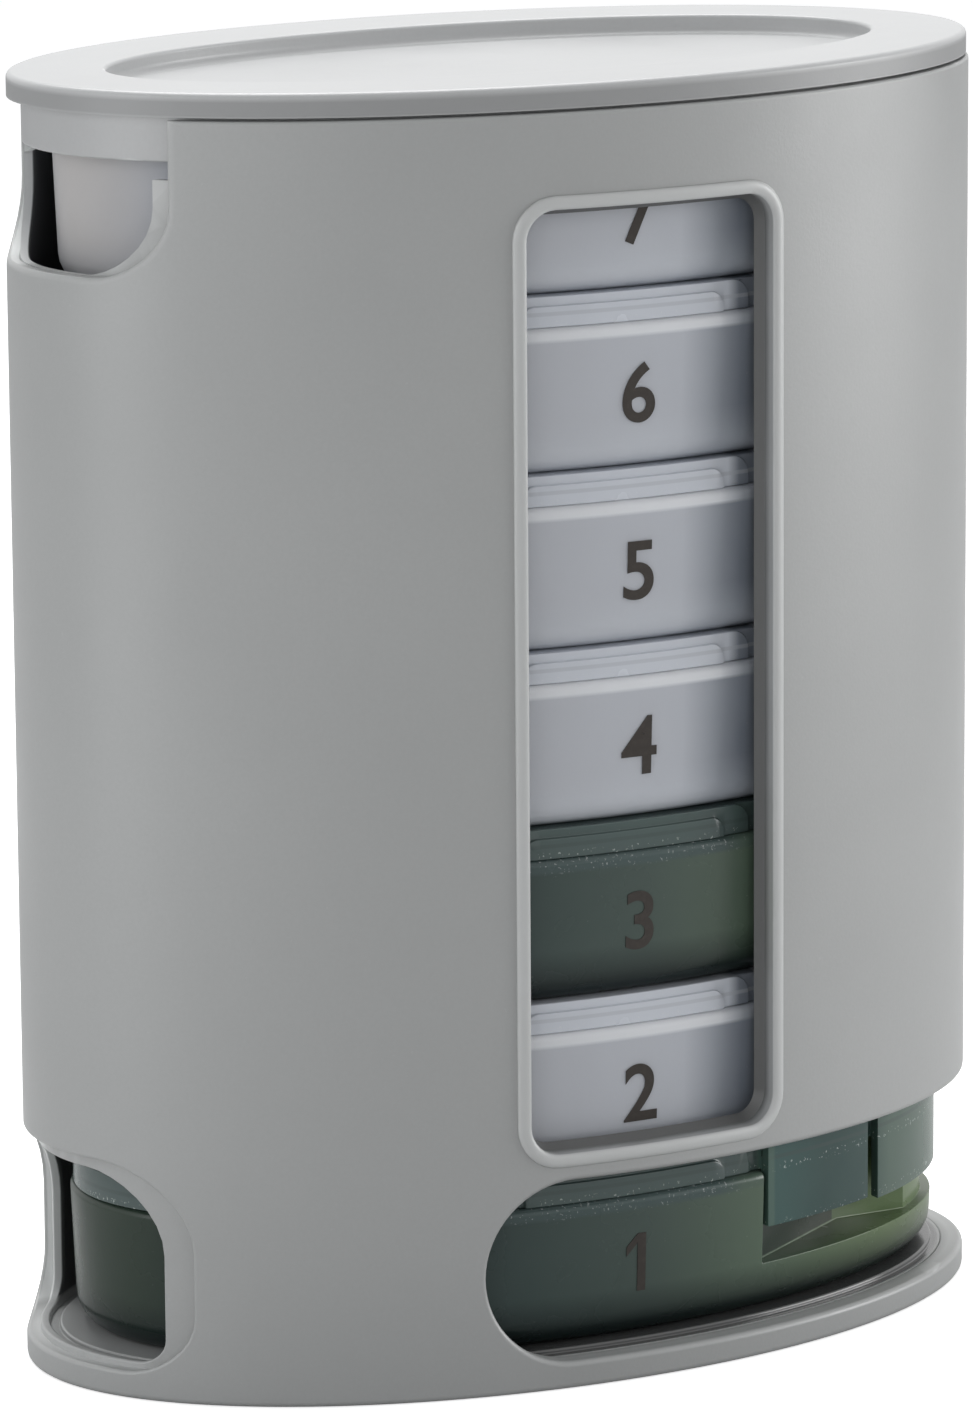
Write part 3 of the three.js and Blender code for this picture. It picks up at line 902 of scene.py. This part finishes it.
class Recipe:
    """A node material, built step by step."""

    def __init__(self, name):
        self.material = bpy.data.materials.new(name)
        self.material.use_nodes = True
        self.tree = self.material.node_tree
        self.shader = self.tree.nodes["Principled BSDF"]
        self.place = self.node("TexCoord").outputs["Object"]

    def node(self, kind, settings=None, **inputs):
        made = self.tree.nodes.new("ShaderNode" + kind)
        for key, value in (settings or {}).items():
            setattr(made, key, value)
        for key, value in inputs.items():
            self.feed(made.inputs[key.replace("_", " ")], value)
        return made

    def feed(self, socket, value):
        if isinstance(value, bpy.types.NodeSocket):
            self.tree.links.new(value, socket)
        else:
            socket.default_value = value

    def noise(self, scale, detail, stretch=(1, 1, 1)):
        """A noise of so many waves in a metre."""
        where = self.node("Mapping", Vector=self.place, Scale=stretch).outputs[0]
        return self.node("TexNoise", Vector=where, Scale=scale, Detail=detail).outputs[0]

    def uneven(self, scale, detail, low=0.0, high=1.0):
        """A noise whose middle part is spread between two values."""
        return self.span(self.noise(scale, detail), *NOISE_MIDDLE, low, high)

    def flecks(self, scale, tips):
        """Small sparse marks, from the tips of a fine noise."""
        return self.span(self.noise(scale, FLECK_DETAIL), *tips)

    def span(self, value, low, high, to_low=0.0, to_high=1.0):
        return self.node(
            "MapRange", Value=value,
            From_Min=low, From_Max=high, To_Min=to_low, To_Max=to_high,
        ).outputs[0]

    def without(self, value):
        return self.span(value, 0, 1, 1.0, 0.0)

    def times(self, product, *others):
        for other in others:
            made = self.node("Math", {"operation": "MULTIPLY"})
            self.feed(made.inputs[0], product)
            self.feed(made.inputs[1], other)
            product = made.outputs[0]
        return product

    def mix(self, share, first, second, kind="RGBA"):
        """Between two colours, or of the kind FLOAT between two values."""
        made = self.node("Mix", {"data_type": kind})
        *sockets, result = MIX_SOCKETS[kind]
        for socket, value in zip(sockets, (share, first, second)):
            self.feed(made.inputs[socket], value)
        return made.outputs[result]

    def band(self, value, low, high, soft):
        """One between two values, falling to zero within a soft border."""
        rising = self.span(value, low - soft, low)
        return self.times(rising, self.span(value, high, high + soft, 1.0, 0.0))

    def inside_oval(self, inset, soft):
        """One inside the tower's oval, moved in by an inset, and zero outside."""
        across = ((HALF_LENGTH - inset) * MM, (HALF_DEPTH - inset) * MM)
        scaled = self.node(
            "Mapping", Vector=self.place, Scale=(1 / across[0], 1 / across[1], 0),
        ).outputs[0]
        length = self.node("VectorMath", {"operation": "LENGTH"}, Vector=scaled)
        return self.span(length.outputs["Value"], 1 - soft, 1, 1.0, 0.0)

    def local(self):
        return self.node("SeparateXYZ", Vector=self.place).outputs

    def worn_edges(self):
        # Convex edges, made paler: partly edge wear, partly a painted highlight
        point = self.node("NewGeometry").outputs["Pointiness"]
        return self.span(point, *EDGE_POINTS)

    def bump(self, layers):
        """Layers of (height, strength, distance), the first one at the bottom."""
        normal = None
        for height, strength, distance in layers:
            made = self.node("Bump", Height=height, Strength=strength, Distance=distance)
            if normal:
                self.feed(made.inputs["Normal"], normal)
            normal = made.outputs[0]
        self.feed(self.shader.inputs["Normal"], normal)

    def set(self, **values):
        for key, value in values.items():
            self.feed(self.shader.inputs[key.replace("_", " ")], value)


def shade(colour, amount):
    return tuple(min(1, part * amount) for part in colour[:3]) + (1,)


def satin_plastic(name, colour, marked):
    """Moulded grey plastic with a fine grain, faint marks and paler edges, the edges partly worn
    and partly a painted highlight, and a painted highlight on the bead's crest and the base rim.

    marked changes the tone and the gloss of some places: it takes the recipe and
    returns for each the place, the tone's share of the colour and the roughness."""
    recipe = Recipe(name)
    span, times, mix = recipe.span, recipe.times, recipe.mix
    cloud = recipe.uneven(22, 4.0)
    grain = recipe.uneven(2600, 2.0)
    base = mix(cloud, *(shade(colour, tone) for tone in CLOUD_TONES))
    base = mix(times(grain, GRAIN_SHARE), base, shade(colour, GRAIN_TONE))
    # Painted highlight on the bead's crest and the base rim, the parts that stand out of the oval
    crest_highlight = recipe.inside_oval(CREST_INSET, 0.002)
    base = mix(crest_highlight, shade(colour, CREST_HIGHLIGHT_TONE), base)
    plain = times(
        recipe.inside_oval(-WALL_BAND, WALL_BAND_SOFT),
        recipe.without(recipe.inside_oval(WALL_BAND, WALL_BAND_SOFT)),
    )
    # Paler convex edges away from the wall's outer face: partly wear, partly a painted highlight
    worn = times(recipe.worn_edges(), span(plain, 0, 1, EDGE_WEAR_AND_HIGHLIGHT_SHARE, 0.0))
    base = mix(worn, base, shade(colour, WEAR_MARK_AND_HIGHLIGHT_TONE))
    marks = times(recipe.flecks(1300, MARK_TIPS), MARK_SHARE)
    base = mix(marks, base, shade(colour, WEAR_MARK_AND_HIGHLIGHT_TONE))
    rough = recipe.uneven(70, 4.0, *SATIN_ROUGHNESS)
    for place, tone, gloss in marked(recipe):
        base = mix(place, base, shade(colour, tone))
        rough = mix(place, rough, gloss, "FLOAT")
    recipe.set(Base_Color=base, IOR=1.49, Specular_IOR_Level=0.75, Roughness=rough)
    recipe.bump([
        (recipe.noise(18, 2.0), 0.2, 0.0005),
        (recipe.noise(900, 3.0, stretch=(1, 1, 0.06)), 0.04, 0.0001),
        (recipe.noise(3200, 2.0), 0.16, 0.00006),
    ])
    return recipe.material


def housing_places(recipe):
    """Painted shade and reflection on the floor under the bottom tray, which is also glossier,
    painted shade on the window's deep sides, painted light on the left end's cut faces and
    painted shade on its inner faces behind the middle."""
    along, back, up = recipe.local()
    span, times = recipe.span, recipe.times
    # Painted shade and reflection on the floor under the bottom tray, which is also glossier
    floor = times(
        span(up, *FLOOR_TONE, 1.0, 0.0),
        span(up, 0.0, FLOOR_TONE[0] / 2),
        recipe.inside_oval(TOWER_WALL, 0.012),
        span(along, *FLOOR_START),
    )
    # Painted shade on the window's deep sides
    shaded_sides = times(
        recipe.band(along, *REVEAL_ALONG, HAIRLINE),
        recipe.band(up, *REVEAL_UP, HAIRLINE),
        span(back, *REVEAL_FRONT, 1.0, 0.0),
        recipe.inside_oval(*REVEAL_OVAL),
    )
    far_end = times(
        span(along, *END_ALONG, 1.0, 0.0), span(back, *END_BACK), span(up, *FLOOR_TONE),
    )
    # At the left end, painted shade on the inner faces and painted light on the cut faces
    inner = times(far_end, recipe.inside_oval(TOWER_WALL - 0.3, 0.003))
    lit_cut_faces = times(far_end, recipe.inside_oval(0.3, 0.004))
    return [
        (floor, *FLOOR_SHADE_LOOK), (shaded_sides, *REVEAL_SHADE_LOOK), (lit_cut_faces, *END_CUT_LIGHT_LOOK),
        (inner, *END_INNER_SHADE_LOOK),
    ]


def cap_side(recipe):
    """The cap's upright edge is deeper in tone than its top and its skirt: painted shade."""
    _, _, up = recipe.local()
    outside = recipe.without(recipe.inside_oval(SLIDE_GAP, 0.002))
    return [(recipe.times(recipe.band(up, *CAP_SIDE, 0.0004), outside), *CAP_SIDE_SHADE_LOOK)]


def tray_plastic(name, light_and_shade_drift, deep, rim, rim_fleck_share, bottom_band_share, roughness, sheen, soft):
    """Tinted tray plastic with painted light and shade. light_and_shade_drift lists (place along
    the tray, colour), a painted shade and light along the tray. deep is the tone of a painted
    bottom band and the pocket's slant, also mixed in as a random cloud; rim is the colour of a
    painted highlight along the top rim.
    """
    recipe = Recipe(name)
    span, times, mix = recipe.span, recipe.times, recipe.mix
    along, _, up = recipe.local()
    # Painted shade and light along the tray
    base = light_and_shade_drift[0][1]
    for (start, _), (end, colour) in zip(light_and_shade_drift, light_and_shade_drift[1:]):
        base = mix(span(along, start, end), base, colour)
    # A band at the bottom in the deep tone: painted shade on the green trays, painted light on the
    # white ones
    base = mix(times(span(up, *TRAY_BOTTOM_BAND, 1.0, 0.0), bottom_band_share), base, deep)
    # The pocket's slanted wall in the deep tone: painted shade on the green trays, painted light on
    # the white ones
    painted_slant = times(
        recipe.band(along, *POCKET_SLANT, 0.0002), span(up, *POCKET_RISE), SLANT_PAINT_SHARE,
    )
    base = mix(painted_slant, base, deep)
    cloud = span(recipe.noise(60, 4.0), *NOISE_UPPER)
    base = mix(times(cloud, TRAY_CLOUD_SHARE), base, deep)
    # Painted highlight along the top rim, weaker towards the right and fading in from the left end
    edge = times(
        span(up, *TRAY_RIM_HIGHLIGHT), span(along, *RIM_HIGHLIGHT_FADE, 1.0, RIM_LEAST), span(along, *RIM_START),
    )
    base = mix(times(edge, RIM_HIGHLIGHT_SHARE), base, rim)
    # Pale flecks along the rim, where its highlight is painted
    rim_flecks = times(recipe.flecks(3200, RIM_FLECK_TIPS), times(edge, rim_fleck_share))
    base = mix(rim_flecks, base, RIM_FLECK_COLOUR)
    specks = times(recipe.flecks(2100, SPECK_TIPS), TRAY_SPECK_SHARE)
    base = mix(specks, base, TRAY_SPECK_COLOUR)
    recipe.set(Base_Color=base, IOR=1.5, Specular_IOR_Level=sheen, Subsurface_Weight=soft)
    recipe.set(Subsurface_Radius=(1.0, 1.0, 1.0), Subsurface_Scale=0.003)
    recipe.set(Roughness=recipe.uneven(120, 4.0, roughness - 0.07, roughness + 0.07))
    recipe.bump([
        (recipe.noise(45, 2.0), 0.25, 0.0004),
        (recipe.noise(2400, 2.0), 0.12, 0.00005),
    ])
    return recipe.material


def lid_plastic(name, front, shadowed, tab, grip, speck, fleck_share, see_through, roughness):
    """Clear lid plastic with a faint haze, and pale flecks along its lower edges. Along its length
    it has a painted shadow right of the panel, painted light and shade on the hood, a painted shade
    line across the front and a painted highlight on the tab's edge.
    """
    recipe = Recipe(name)
    span, times, mix = recipe.span, recipe.times, recipe.mix
    along, _, up = recipe.local()
    # Painted shadow right of the panel; then on the hood a lit tone where the tab starts, a shaded
    # one where it turns, and the grip's tone, all painted light and shade
    base = mix(span(along, *SHADOW_START), front, shadowed)
    for place, colour in (
        (TAB_START, shade(tab, 1.3)), (TAB_TURN, shade(tab, 0.85)), (GRIP_START, grip),
    ):
        base = mix(span(along, *place), base, colour)
    haze = span(recipe.noise(90, 4.0), *NOISE_UPPER)
    base = mix(times(haze, HAZE_SHARE), base, shade(grip, 1.1))
    # A thin painted shade line across the lid's front
    line = times(recipe.band(up, *PANEL_LINE, HAIRLINE), PANEL_LINE_SHADE_SHARE)
    base = mix(line, base, shade(front, 0.72))
    # Painted highlight along the tab's edge
    tab_edge_highlight = times(recipe.band(along, *TAB_EDGE, 0.0003), TAB_EDGE_HIGHLIGHT_SHARE)
    base = mix(tab_edge_highlight, base, shade(grip, 1.3))
    # Pale flecks along the lower edges and the tab's foot
    tips = recipe.flecks(3000, LOW_EDGE_FLECK_TIPS)
    low_edge = recipe.band(up, *LID_FOOT, 0.0002)
    tab_foot = times(recipe.band(up, *TAB_FOOT, 0.0002), span(along, *TAB_START))
    for place in (low_edge, tab_foot):
        base = mix(times(tips, place, fleck_share), base, speck)
    specks = times(recipe.flecks(2100, SPECK_TIPS), LID_SPECK_SHARE * fleck_share)
    base = mix(specks, base, speck)
    recipe.set(Base_Color=base, IOR=1.49, Transmission_Weight=see_through)
    recipe.set(Roughness=recipe.uneven(150, 4.0, roughness - 0.03, roughness + 0.03))
    recipe.bump([
        (recipe.noise(30, 2.0), 0.12, 0.0003),
        (recipe.noise(1800, 2.0), 0.10, 0.00004),
    ])
    return recipe.material


def ink(name, colour):
    recipe = Recipe(name)
    worn = recipe.times(recipe.span(recipe.noise(1500, 4.0), *INK_WORN), 0.3)
    base = recipe.mix(worn, colour, shade(colour, 2.0))
    recipe.set(Base_Color=base, Specular_IOR_Level=0.25)
    recipe.set(Roughness=recipe.uneven(600, 3.0, *INK_ROUGHNESS))
    recipe.bump([(recipe.noise(2500, 3.0), 0.3, 0.00004)])
    return recipe.material


# Parts of a noise: its middle, its upper part and its sparse tips
NOISE_MIDDLE = (0.3, 0.7)
NOISE_UPPER = (0.35, 0.7)
INK_WORN = (0.5, 0.8)
MARK_TIPS = (0.74, 0.78)
RIM_FLECK_TIPS = (0.64, 0.70)
SPECK_TIPS = (0.75, 0.79)
LOW_EDGE_FLECK_TIPS = (0.62, 0.69)
FLECK_DETAIL = 2.0
EDGE_POINTS = (0.53, 0.6)

# Tones, as parts of the plastic's own colour, and how much of them is mixed in. The crest tone is a
# painted highlight and the edge tone partly one; the slant and rim shares mix in painted shade and
# highlight
CLOUD_TONES = (0.965, 1.03)
GRAIN_TONE, GRAIN_SHARE = 0.88, 0.22
WEAR_MARK_AND_HIGHLIGHT_TONE, EDGE_WEAR_AND_HIGHLIGHT_SHARE, MARK_SHARE = 1.5, 0.6, 0.12
CREST_HIGHLIGHT_TONE = 1.35
SLANT_PAINT_SHARE, TRAY_CLOUD_SHARE, TRAY_SPECK_SHARE = 0.8, 0.10, 0.12
RIM_HIGHLIGHT_SHARE, RIM_LEAST = 0.9, 0.3
HAZE_SHARE, PANEL_LINE_SHADE_SHARE, TAB_EDGE_HIGHLIGHT_SHARE, LID_SPECK_SHARE = 0.15, 0.45, 0.55, 0.2
RIM_FLECK_COLOUR = (0.82, 0.84, 0.84, 1)
TRAY_SPECK_COLOUR = (0.7, 0.72, 0.72, 1)
SATIN_ROUGHNESS = (0.34, 0.44)
INK_ROUGHNESS = (0.45, 0.65)

# Tone and roughness of the marked places; the tones are painted shade, reflection and light
FLOOR_SHADE_LOOK = (0.21, 0.14)
REVEAL_SHADE_LOOK = (0.24, 0.5)
END_CUT_LIGHT_LOOK = (1.75, 0.4)
END_INNER_SHADE_LOOK = (0.16, 0.5)
CAP_SIDE_SHADE_LOOK = (0.68, 0.42)

# Places of the tones, in metres from the piece's own origin. The insets of the
# tower's oval are in millimetres.
HAIRLINE = 0.0001
FLOOR_TONE = (0.0035, 0.0040)
FLOOR_START = (-0.034, -0.024)
REVEAL_ALONG = (-0.0141, 0.0141)
REVEAL_UP = (window_bottom * MM, window_top * MM)
REVEAL_FRONT = (-0.001, 0.0)
REVEAL_OVAL = (0.4, 0.035)  # inset and softness
END_ALONG = (-0.037, -0.035)
END_BACK = (0.002, 0.004)
CAP_SIDE = (0.1278, 0.1291)
CREST_INSET = -0.18
WALL_BAND = 0.06
WALL_BAND_SOFT = 0.0006
TRAY_BOTTOM_BAND = (0.0012, 0.0050)
TRAY_RIM_HIGHLIGHT = (0.0128, 0.0132)
RIM_HIGHLIGHT_FADE = (0.0095, 0.0125)
RIM_START = (-0.034, -0.028)
POCKET_SLANT = (0.0154, 0.0296)
POCKET_RISE = (0.00485, 0.0050)
SHADOW_START = (0.0110, 0.0124)
TAB_START = (0.0150, 0.0152)
TAB_TURN = (0.0175, 0.0235)
GRIP_START = (0.030, 0.034)
TAB_EDGE = (0.0150, 0.0163)
PANEL_LINE = (0.0155, 0.0158)
LID_FOOT = (0.0143, 0.0149)
TAB_FOOT = (0.0084, 0.0090)

housing_plastic = satin_plastic("housing_plastic", (0.42, 0.427, 0.424, 1), housing_places)
cap_plastic = satin_plastic("cap_plastic", (0.48, 0.485, 0.488, 1), cap_side)
white_plastic = tray_plastic(
    "white_tray_plastic",
    # Painted shade: darker towards the left end and next to the window's right side, paler at the
    # very end
    light_and_shade_drift=[
        (-0.0475, (0.52, 0.50, 0.49, 1)), (-0.0425, (0.37, 0.39, 0.435, 1)),
        (-0.034, (0.36, 0.385, 0.43, 1)), (-0.014, (0.57, 0.585, 0.625, 1)),
        (0.0050, (0.53, 0.55, 0.595, 1)), (0.0092, (0.32, 0.345, 0.39, 1)),
        (0.0122, (0.20, 0.225, 0.265, 1)), (0.0155, (0.24, 0.265, 0.305, 1)),
        (0.0230, (0.53, 0.55, 0.595, 1)),
    ],
    deep=(0.60, 0.63, 0.68, 1), rim=(0.86, 0.88, 0.92, 1),
    rim_fleck_share=0.15, bottom_band_share=0.35, roughness=0.42, sheen=0.5, soft=0.6,
)
green_plastic = tray_plastic(
    "green_tray_plastic",
    # Painted shade and light: dark at the left end, lighter and yellower to the right
    light_and_shade_drift=[
        (-0.046, (0.028, 0.045, 0.032, 1)), (-0.038, (0.018, 0.033, 0.032, 1)),
        (-0.014, (0.052, 0.078, 0.073, 1)), (0.001, (0.072, 0.101, 0.088, 1)),
        (0.016, (0.118, 0.168, 0.118, 1)), (0.034, (0.15, 0.22, 0.10, 1)),
    ],
    deep=(0.005, 0.011, 0.011, 1), rim=(0.072, 0.104, 0.102, 1),
    rim_fleck_share=0.35, bottom_band_share=0.95, roughness=0.28, sheen=0.35, soft=0.0,
)
clear_lid_plastic = lid_plastic(
    "clear_lid_plastic",
    front=(0.70, 0.73, 0.79, 1), shadowed=(0.24, 0.265, 0.305, 1),
    tab=(0.50, 0.53, 0.58, 1), grip=(0.52, 0.55, 0.59, 1), speck=(0.85, 0.87, 0.88, 1),
    fleck_share=0.25, see_through=0.06, roughness=0.26,
)
green_lid_plastic = lid_plastic(
    "green_lid_plastic",
    front=(0.092, 0.128, 0.124, 1), shadowed=(0.085, 0.12, 0.112, 1),
    tab=(0.042, 0.092, 0.086, 1), grip=(0.095, 0.150, 0.118, 1), speck=(0.62, 0.68, 0.65, 1),
    fleck_share=0.7, see_through=0.10, roughness=0.20,
)
label_ink = ink("label_ink", (0.050, 0.043, 0.038, 1))


def add_piece(name, mesh, body, node, material, height=0.0):
    made = place_object(name, mesh)
    made.location.z = height * MM
    if not mesh.materials:
        mesh.materials.append(None)
    made.material_slots[0].link = "OBJECT"
    made.material_slots[0].material = material
    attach(made, body)
    if node:
        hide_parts(node)


add_piece(
    "housing_moulding", make_tower(), "housing", "tower_housing",
    housing_plastic,
)
add_piece("cap_moulding", make_cap(), "cap", "tower_cap", cap_plastic)

tray_mesh, lid_mesh = make_tray(), make_lid()
for number in range(1, TRAY_COUNT + 1):
    green = number in GREEN_TRAYS
    height = stack_bottom + (number - 1) * tray_pitch
    body = f"tray_{number}"
    lid_body = "lid_1" if number == 1 else body
    add_piece(
        f"tray_{number}_body", tray_mesh, body, f"tray_{number}",
        green_plastic if green else white_plastic, height,
    )
    add_piece(
        f"tray_{number}_lid", lid_mesh, lid_body, f"tray_lid_{number}",
        green_lid_plastic if green else clear_lid_plastic, height,
    )
    numeral_mesh = make_numeral(number)
    add_piece(f"tray_{number}_numeral", numeral_mesh, body, None, label_ink, height)


# Floor, light and camera
WORLD_LIGHT = 0.30
MIRRORED_LIGHT = 1.0
BACKGROUND_LIGHT = 1.0
FLOOR_HALF = 3.0
FLOOR_DROP = 0.02
PAPER_COLOUR = (0.62, 0.62, 0.62, 1)
SEEN_PAPER_COLOUR = (0.95, 0.95, 0.95, 1)
SEEN_PAPER_GLOW = 0.62


def shader(tree, kind, **values):
    """A node of a tree, with the values of its inputs."""
    made = tree.nodes.new("ShaderNode" + kind)
    for key, value in values.items():
        made.inputs[key].default_value = value
    return made


def joined(tree, kind, *sources):
    """What a node makes of several sources."""
    made = shader(tree, kind)
    for source, socket in zip(sources, made.inputs):
        tree.links.new(source, socket)
    return made.outputs[0]


def make_floor():
    """Pale paper that the camera sees white."""
    mesh = bpy.data.meshes.new("floor")
    mesh.from_pydata([
        (x * FLOOR_HALF, y * FLOOR_HALF, -FLOOR_DROP * MM)
        for x, y in ((-1, -1), (1, -1), (1, 1), (-1, 1))
    ], [], [(0, 1, 2, 3)])
    floor = place_object("floor", mesh)
    material = bpy.data.materials.new("floor_paper")
    material.use_nodes = True
    tree = material.node_tree
    tree.nodes.clear()
    paper = shader(tree, "BsdfDiffuse", Color=PAPER_COLOUR).outputs[0]
    bright = shader(tree, "BsdfDiffuse", Color=SEEN_PAPER_COLOUR).outputs[0]
    glow = shader(tree, "Emission", Strength=SEEN_PAPER_GLOW).outputs[0]
    seen = shader(tree, "LightPath").outputs["Is Camera Ray"]
    lit = joined(tree, "AddShader", bright, glow)
    result = joined(tree, "MixShader", seen, paper, lit)
    tree.links.new(result, shader(tree, "OutputMaterial").inputs[0])
    mesh.materials.append(material)


def make_world():
    """Soft light for the object, a bright studio in its reflections, and plain white behind it."""
    world = bpy.data.worlds.new("studio")
    bpy.context.scene.world = world
    world.use_nodes = True
    tree = world.node_tree
    tree.nodes.clear()
    rays = shader(tree, "LightPath").outputs
    result = None
    for colour, strength, ray in (
        ((0.96, 0.98, 1.0, 1), WORLD_LIGHT, None),
        ((1, 1, 1, 1), MIRRORED_LIGHT, "Is Glossy Ray"),
        ((1, 1, 1, 1), MIRRORED_LIGHT, "Is Transmission Ray"),
        ((1, 1, 1, 1), BACKGROUND_LIGHT, "Is Camera Ray"),
    ):
        sky = shader(tree, "Background", Color=colour, Strength=strength).outputs[0]
        result = joined(tree, "MixShader", rays[ray], result, sky) if ray else sky
    tree.links.new(result, shader(tree, "OutputWorld").inputs[0])


AIM = Vector((-1.5434, 0, 62.8765)) * MM


def bearing(azimuth, elevation):
    """The way from the tower to a place at an angle round it and above it, in degrees."""
    turn, lift = math.radians(azimuth), math.radians(elevation)
    return Vector((
        math.sin(turn) * math.cos(lift), -math.cos(turn) * math.cos(lift), math.sin(lift),
    ))


def soft_light(name, azimuth, elevation, distance, size, power, colour=(1, 1, 1), height=None):
    """An area light that looks at the tower. Distance and sizes in metres, power in watts."""
    way = bearing(azimuth, elevation)
    light = bpy.data.lights.new(name, "AREA")
    if height:
        light.shape, light.size_y = "RECTANGLE", height
    light.size = size
    light.energy = power
    light.color = colour
    made = place_object(name, light)
    made.location = AIM + way * distance
    made.rotation_euler = (-way).to_track_quat("-Z", "Y").to_euler()


# The camera, found from the ovals, rims and openings in the photograph
CAMERA_DISTANCE = 791.77 * MM
CAMERA_AZIMUTH = -29.518
CAMERA_ELEVATION = 11.458
CAMERA_ROLL = -0.4036
CAMERA_LENS = 198.63
CAMERA_SENSOR = 36


def make_camera():
    way, roll = bearing(CAMERA_AZIMUTH, CAMERA_ELEVATION), math.radians(CAMERA_ROLL)
    ahead = -way
    right = ahead.cross(Vector((0, 0, 1))).normalized()
    up = right.cross(ahead)
    level_right = right * math.cos(roll) + up * math.sin(roll)
    level_up = up * math.cos(roll) - right * math.sin(roll)
    lens = bpy.data.cameras.new("camera")
    lens.lens = CAMERA_LENS
    lens.sensor_width = CAMERA_SENSOR
    camera = place_object("camera", lens)
    turned = Matrix((level_right, level_up, way)).transposed().to_4x4()
    camera.matrix_world = Matrix.Translation(AIM + way * CAMERA_DISTANCE) @ turned
    bpy.context.scene.camera = camera


make_floor()
make_world()
soft_light("right", azimuth=66, elevation=6, distance=0.9, size=0.5, power=4.2)
soft_light(
    "left", azimuth=-82, elevation=12, distance=0.40, size=0.24, height=0.36, power=0.42,
    colour=(0.98, 0.99, 1.0),
)
soft_light("front", azimuth=-40, elevation=8, distance=0.9, size=0.6, power=0.9)
soft_light("above", azimuth=160, elevation=68, distance=0.8, size=0.6, power=6.5)
make_camera()
bpy.context.scene.view_settings.view_transform = "Standard"
